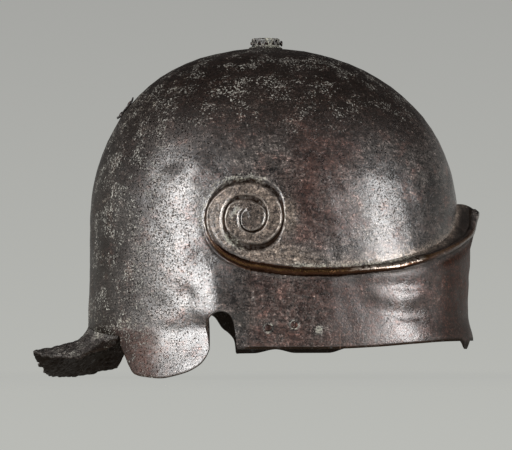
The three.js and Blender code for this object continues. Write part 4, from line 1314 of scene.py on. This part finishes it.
def rivet_outline(radius, head_radius, head_height, head_seat, tail_seat):
    """Outline of a rivet from the foot of its spread tail to the top of its domed head."""
    tail = [(share * head_radius, tail_seat - drop * head_height)
            for share, drop in ((0, 1), (0.7, 0.95), (0.96, 0.4), (1, 0))]
    dome = []
    for turn in np.linspace(0, HALF_TURN / 2, 7)[:-1]:
        dome.append((head_radius * math.cos(turn), head_seat + head_height * (0.25 + 0.75 * math.sin(turn))))
    shank = [(radius, tail_seat), (radius, head_seat), (head_radius, head_seat)]
    return tail + shank + dome + [(0, head_seat + head_height)]


def roughen(piece, depth, size, seed):
    """Eats into a small piece as corrosion does."""
    co = vertex_vectors(piece, "co")
    wave = np.minimum(ripple(*(co / MM).T, size, seed), 0.2)
    lay_vertices(piece, co + vertex_vectors(piece, "normal") * (wave * depth * MM)[:, None])


def place_turned(piece, place, direction, corrosion, angle, material, slot):
    """Turns a piece made about Z along a direction, moves it to its place and finishes it."""
    turn = Quaternion()
    if abs(direction[2]) < 0.9999:
        turn = Vector(UP).rotation_difference(Vector(direction))
    matrix = turn.to_matrix().to_4x4()
    piece.data.transform(matrix)
    piece.data.transform(matrix.Translation(Vector(place) * MM))
    roughen(piece, *corrosion)
    shade_smooth(piece, angle)
    finish_piece(piece, material, slot, piece.name.removeprefix("helmet_"))


def place_rivet(piece, place, direction, corrosion, angle=50):
    place_turned(piece, place, direction, corrosion, angle, rivet_material(), "rivet_bronze")


def place_green(piece, z, corrosion, angle):
    place_turned(piece, (CREST_X, 0, z), UP, corrosion, angle, green_material(), "green_bronze")


def thin_plate(name, points, thickness):
    """A plate laid on rows of points, with its wall inside them and worn edges."""
    piece = lay_sheet(name, points, {})
    apply_modifier(piece, "SOLIDIFY", "Wall", thickness=thickness * MM, offset=-1, use_rim=True)
    apply_modifier(piece, "BEVEL", "Worn edge", width=0.2 * MM, segments=2, limit_method="ANGLE")
    shade_smooth(piece, 40)
    finish_piece(piece, crusted_material(), "crusted_bronze", name.removeprefix("helmet_"))


def grid_shares(columns, rows):
    """Shares across and down, for each point of a grid."""
    return np.meshgrid(np.linspace(0, 1, columns + 1), np.linspace(0, 1, rows + 1))


class HELMET_OT_hinges(bpy.types.Operator):
    """Makes the rivets and inner leaves that held the cheekpieces"""

    bl_idname = "helmet.hinges"
    bl_label = "Hinge rivets and leaves"

    def execute(self, context):
        outline = rivet_outline(1.0, 2.1, 0.9, FIT_GAP * 0.4, -WALL - PLATE_WALL - 3 * FIT_GAP)
        for label, side in (("left", 1), ("right", -1)):
            for end, (x, z) in zip(("front", "rear"), HINGE_SEATS):
                piece = turned_piece(f"helmet_hinge_rivet_{label}_{end}", outline)
                place_rivet(piece, *seat_on(lower_point, float(angle_at_x(x, z, side)), z), (0.12, 1.6, 41))
            self.leaf(label, side)
        return {"FINISHED"}

    @staticmethod
    def leaf(label, side):
        (front_x, front_z), (rear_x, rear_z) = HINGE_SEATS
        across, down = grid_shares(40, 16)
        z = (front_z + rear_z) / 2 + LEAF_MARGIN - 2 * LEAF_MARGIN * down
        angle = angle_at_x(mix(front_x + LEAF_MARGIN, rear_x - LEAF_MARGIN, across), z, side)
        points = lower_point(angle, z)
        normals = surface_normals(points, False) * side
        points = points - normals * (WALL + 2 * FIT_GAP)
        worn = 0.12 * np.abs(ripple(*np.moveaxis(points, -1, 0), 5, 51))
        thin_plate(f"helmet_hinge_leaf_{label}", points - normals * worn[..., None], 0.85)


class HELMET_OT_rear_patch(bpy.types.Operator):
    """Makes the thin patch high on the back with its two rivets"""

    bl_idname = "helmet.rear_patch"
    bl_label = "Rear patch"

    def execute(self, context):
        half_turn = PATCH_WIDTH / 2 / float(plan_radius(HALF_TURN) * dome_share(PATCH_SEAT_Z))
        across, down = grid_shares(36, 44)
        from_middle = np.abs(2 * down - 1)
        angle = HALF_TURN + half_turn * (2 * across - 1) * (1 - 0.16 * from_middle ** 3)
        base = bowl_point(angle, PATCH_SEAT_Z + PATCH_HEIGHT * (0.5 - down))
        ragged = np.minimum(0.16 * ripple(*np.moveaxis(base, -1, 0), 6, 61), 0.05)
        lift = FIT_GAP + PLATE_WALL + PATCH_LIFT * from_middle ** 6 + ragged
        thin_plate("helmet_rear_patch", base + surface_normals(base, False) * lift[..., None], 0.9)
        outline = rivet_outline(0.9, 1.7, 0.7, PLATE_WALL + FIT_GAP, -WALL - FIT_GAP)
        for end, way in (("upper", 1), ("lower", -1)):
            piece = turned_piece(f"helmet_rear_patch_rivet_{end}", outline)
            z = PATCH_SEAT_Z + way * PATCH_RIVET_SPACING / 2
            place_rivet(piece, *seat_on(bowl_point, HALF_TURN, z), (0.1, 1.4, 62))
        return {"FINISHED"}


def window_prism(mesh, turn, corners, radii):
    """Adds a closed prism that reaches outwards from one radius to another."""
    rings = []
    for radius in radii:
        ring = []
        for along, up in corners:
            x = radius * math.cos(turn) - along * math.sin(turn)
            y = radius * math.sin(turn) + along * math.cos(turn)
            ring.append(mesh.verts.new((x * MM, y * MM, up * MM)))
        rings.append(ring)
    near, far = rings
    mesh.faces.new(near)
    mesh.faces.new(far[::-1])
    for a, b in ((0, 1), (1, 2), (2, 0)):
        mesh.faces.new((near[a], near[b], far[b], far[a]))


class HELMET_OT_crest(bpy.types.Operator):
    """Makes the crest fitting: base disc, openwork collar, cross pin, rivet and rove"""

    bl_idname = "helmet.crest"
    bl_label = "Crest fitting"

    def execute(self, context):
        self.base()
        self.collar()
        self.pin()
        self.rivet_and_rove()
        return {"FINISHED"}

    @staticmethod
    def base():
        outline = [(1.8, 0), (10.3, 0), (10.6, 0.25), (10.45, 0.55), (9.9, 0.85), (9.2, 1.0), (1.8, 1.0)]
        piece = turned_piece("helmet_crest_base", outline, 72)
        place_green(piece, CREST_BASE_Z, (0.1, 3.2, 71), 40)

    @classmethod
    def collar(cls):
        inside = COLLAR_RADIUS - COLLAR_WALL
        outline = []
        for radius, height, inwards, upwards in (
                (inside, 0, 1, 0), (COLLAR_RADIUS, 0, -1, 0), (COLLAR_RADIUS, 0, 0, 1),
                (COLLAR_RADIUS, COLLAR_HEIGHT, 0, -1), (COLLAR_RADIUS, COLLAR_HEIGHT, -1, 0),
                (inside, COLLAR_HEIGHT, 1, 0), (inside, COLLAR_HEIGHT, 0, -1), (inside, 0, 0, 1)):
            outline.append((radius + COLLAR_ROUNDING * inwards, height + COLLAR_ROUNDING * upwards))
        piece = turned_piece("helmet_crest_collar", outline, 96)
        tool = cls.windows(inside)
        apply_modifier(piece, "BOOLEAN", "Windows", operation="DIFFERENCE", solver="EXACT", object=tool)
        bpy.data.objects.remove(tool)
        edit_all(piece, merge_doubles)
        place_green(piece, COLLAR_Z, (0.22, 2.2, 72), 35)

    @staticmethod
    def windows(inside):
        """The triangular windows of the collar, which stand on their bases and on their tips in turn."""
        pitch = FULL_TURN / COLLAR_TEETH
        half_height = (COLLAR_HEIGHT - 1.8) / 2
        half_base = math.tan(pitch / 2) * inside - 0.5
        middle = COLLAR_HEIGHT / 2
        mesh = bmesh.new()
        for tooth in range(COLLAR_TEETH):
            for way, ahead in ((1, 0), (-1, 0.5)):
                flat = middle - way * half_height
                corners = ((-half_base, flat), (half_base, flat), (0, middle + way * (half_height - 0.5)))
                window_prism(mesh, pitch * (tooth + ahead), corners, (inside - 2, COLLAR_RADIUS + 2))
        bmesh.ops.recalc_face_normals(mesh, faces=mesh.faces)
        cutter = bpy.data.meshes.new("windows")
        mesh.to_mesh(cutter)
        mesh.free()
        return linked_object("windows", cutter)

    @staticmethod
    def pin():
        seat = COLLAR_RADIUS + 0.6
        tail = -COLLAR_RADIUS - 0.8
        outline = [(0, tail), (0.6, tail + 0.05), (0.9, tail + 0.35), (0.9, seat), (1.8, seat),
                   (1.85, seat + 0.3), (1.75, seat + 0.8), (1.3, seat + 1.2), (0, seat + 1.3)]
        piece = turned_piece("helmet_crest_pin", outline)
        piece.data.transform(Quaternion((0, 1, 0), HALF_TURN / 2).to_matrix().to_4x4())
        place_rivet(piece, (CREST_X, 0, COLLAR_Z + 2.35), UP, (0.14, 2.4, 73))

    @staticmethod
    def rivet_and_rove():
        outline = rivet_outline(1.5, 2.6, 0.7, 0, -2 * PLATE_WALL - WALL - 4 * FIT_GAP)
        rivet = turned_piece("helmet_crest_rivet", outline)
        place_rivet(rivet, (CREST_X, 0, COLLAR_Z + FIT_GAP), UP, (0.1, 2.0, 74))
        outline = [(1.8, 0), (4.0, 0.02), (4.7, 0.3), (5.0, 0.75), (4.95, 1.0), (1.8, 1.0)]
        rove = turned_piece("helmet_crest_rove", outline, 56)
        place_rivet(rove, (CREST_X, 0, CROWN_Z - WALL - FIT_GAP - PLATE_WALL), UP, (0.1, 2.4, 75), 40)


def linked_object(name, data):
    made = bpy.data.objects.new(name, data)
    bpy.context.scene.collection.objects.link(made)
    return made


def look_along(holder, direction):
    holder.rotation_euler = direction.to_track_quat("-Z", "Y").to_euler()


def add_softbox(name, place, width, height, power):
    lamp = bpy.data.lights.new(name, "AREA")
    lamp.shape = "RECTANGLE"
    lamp.size = width
    lamp.size_y = height
    lamp.energy = power
    holder = linked_object(name, lamp)
    holder.location = place
    look_along(holder, Vector(LAMP_AIM) - Vector(place))


class HELMET_OT_stage(bpy.types.Operator):
    """Sets the pale floor, the soft studio light and the camera of the photograph"""

    bl_idname = "helmet.stage"
    bl_label = "Stage, light and camera"

    def execute(self, context):
        self.floor()
        self.world(context.scene)
        add_softbox("left_softbox", (-1.5, -1.24, 0.34), 0.7, 1.1, 47)
        add_softbox("right_softbox", (1.64, -1.18, 0.22), 0.6, 1.0, 33)
        self.camera(context.scene)
        context.scene.view_settings.view_transform = "Standard"
        return {"FINISHED"}

    @staticmethod
    def floor():
        deselect_everything()
        bpy.ops.mesh.primitive_circle_add(vertices=128, radius=9.0, fill_type="NGON", location=(0, 0, 0))
        floor = named_new("studio_floor")
        material = bpy.data.materials.new("studio_paper")
        material.use_nodes = True
        nodes = Nodes(material.node_tree)
        shader = nodes.tree.nodes["Principled BSDF"]
        nodes.feed(shader, Roughness=0.95, Specular_IOR_Level=0.1, Base_Color=PAPER_COLOUR)
        paper = nodes.output(shader)
        # The camera sees the paper at the backdrop's own tone, fading into it, with the shadow left in
        shaded = nodes.mix_shaders(0.94, paper, nodes.made("ShaderNodeEmission", (PAPER_TONE,)))
        length = nodes.add("ShaderNodeVectorMath", operation="LENGTH")
        nodes.feed(length, Vector=nodes.coords("Object"))
        far = nodes.ramp(nodes.output(length, "Value"), 0.12, 0.5)
        seen = nodes.mix_shaders(far, shaded, nodes.made("ShaderNodeBsdfTransparent", ()))
        path = nodes.add("ShaderNodeLightPath")
        seen_rays = [nodes.output(path, f"Is {kind} Ray") for kind in ("Camera", "Glossy", "Transmission")]
        looked_at = seen_rays[0].at_least(seen_rays[1]).at_least(seen_rays[2])
        chosen = nodes.mix_shaders(looked_at, paper, seen)
        nodes.feed(nodes.tree.nodes["Material Output"], Surface=chosen)
        floor.data.materials.append(material)

    @staticmethod
    def world(scene):
        scene.world = bpy.data.worlds.new("studio_room")
        scene.world.use_nodes = True
        nodes = Nodes(scene.world.node_tree)
        split = nodes.add("ShaderNodeSeparateXYZ")
        nodes.feed(split, Vector=nodes.coords("Generated"))
        up = nodes.output(split, "Z")
        paper = nodes.blend(nodes.ramp(up, -0.04, 0.105, "LINEAR"), BACKDROP_LOW, BACKDROP_HIGH)
        room = nodes.blend(nodes.ramp(up, 0.115, 0.36), paper, ROOM_ABOVE)
        colour = nodes.blend(nodes.ramp(nodes.output(split, "Y"), -0.5, 0.5), ROOM_IN_FRONT, room)
        nodes.feed(nodes.tree.nodes["Background"], Color=colour, Strength=1.0)

    @staticmethod
    def camera(scene):
        studio = scene.helmet_studio
        data = bpy.data.cameras.new("photo_camera")
        camera = linked_object("photo_camera", data)
        cos_up = math.cos(studio.elevation)
        back = Vector((math.sin(studio.azimuth) * cos_up, -math.cos(studio.azimuth) * cos_up,
                       math.sin(studio.elevation)))
        camera.location = Vector((0, 0, studio.target_z)) + back * studio.distance
        look_along(camera, -back)
        data.lens = data.sensor_width * studio.distance / studio.field_width
        data.clip_end = 60
        scene.camera = camera


class HELMET_PT_panel(bpy.types.Panel):
    """Buttons for the pieces of the helmet"""

    bl_label = "Helmet"
    bl_idname = "HELMET_PT_panel"
    bl_space_type = "VIEW_3D"
    bl_region_type = "UI"
    bl_category = "Helmet"

    def draw(self, context):
        layout = self.layout
        for group in (context.scene.helmet_sizes, context.scene.helmet_finish, context.scene.helmet_studio):
            box = layout.box()
            for name in group.__annotations__:
                box.prop(group, name)
        for operator in OPERATORS:
            layout.operator(operator.bl_idname)


OPERATORS = (HELMET_OT_skull, HELMET_OT_neck_guard, HELMET_OT_hinges, HELMET_OT_rear_patch, HELMET_OT_crest,
             HELMET_OT_stage)
CLASSES = (HelmetSizes, HelmetFinish, StudioSettings) + OPERATORS + (HELMET_PT_panel,)


def register():
    for item in CLASSES:
        bpy.utils.register_class(item)
    bpy.types.Scene.helmet_sizes = bpy.props.PointerProperty(type=HelmetSizes)
    bpy.types.Scene.helmet_finish = bpy.props.PointerProperty(type=HelmetFinish)
    bpy.types.Scene.helmet_studio = bpy.props.PointerProperty(type=StudioSettings)


def unregister():
    del bpy.types.Scene.helmet_studio
    del bpy.types.Scene.helmet_finish
    del bpy.types.Scene.helmet_sizes
    for item in reversed(CLASSES):
        bpy.utils.unregister_class(item)


def main():
    register()
    bpy.ops.helmet.skull()
    bpy.ops.helmet.neck_guard()
    bpy.ops.helmet.hinges()
    bpy.ops.helmet.rear_patch()
    bpy.ops.helmet.crest()
    bpy.ops.helmet.stage()


if __name__ == "__main__":
    main()
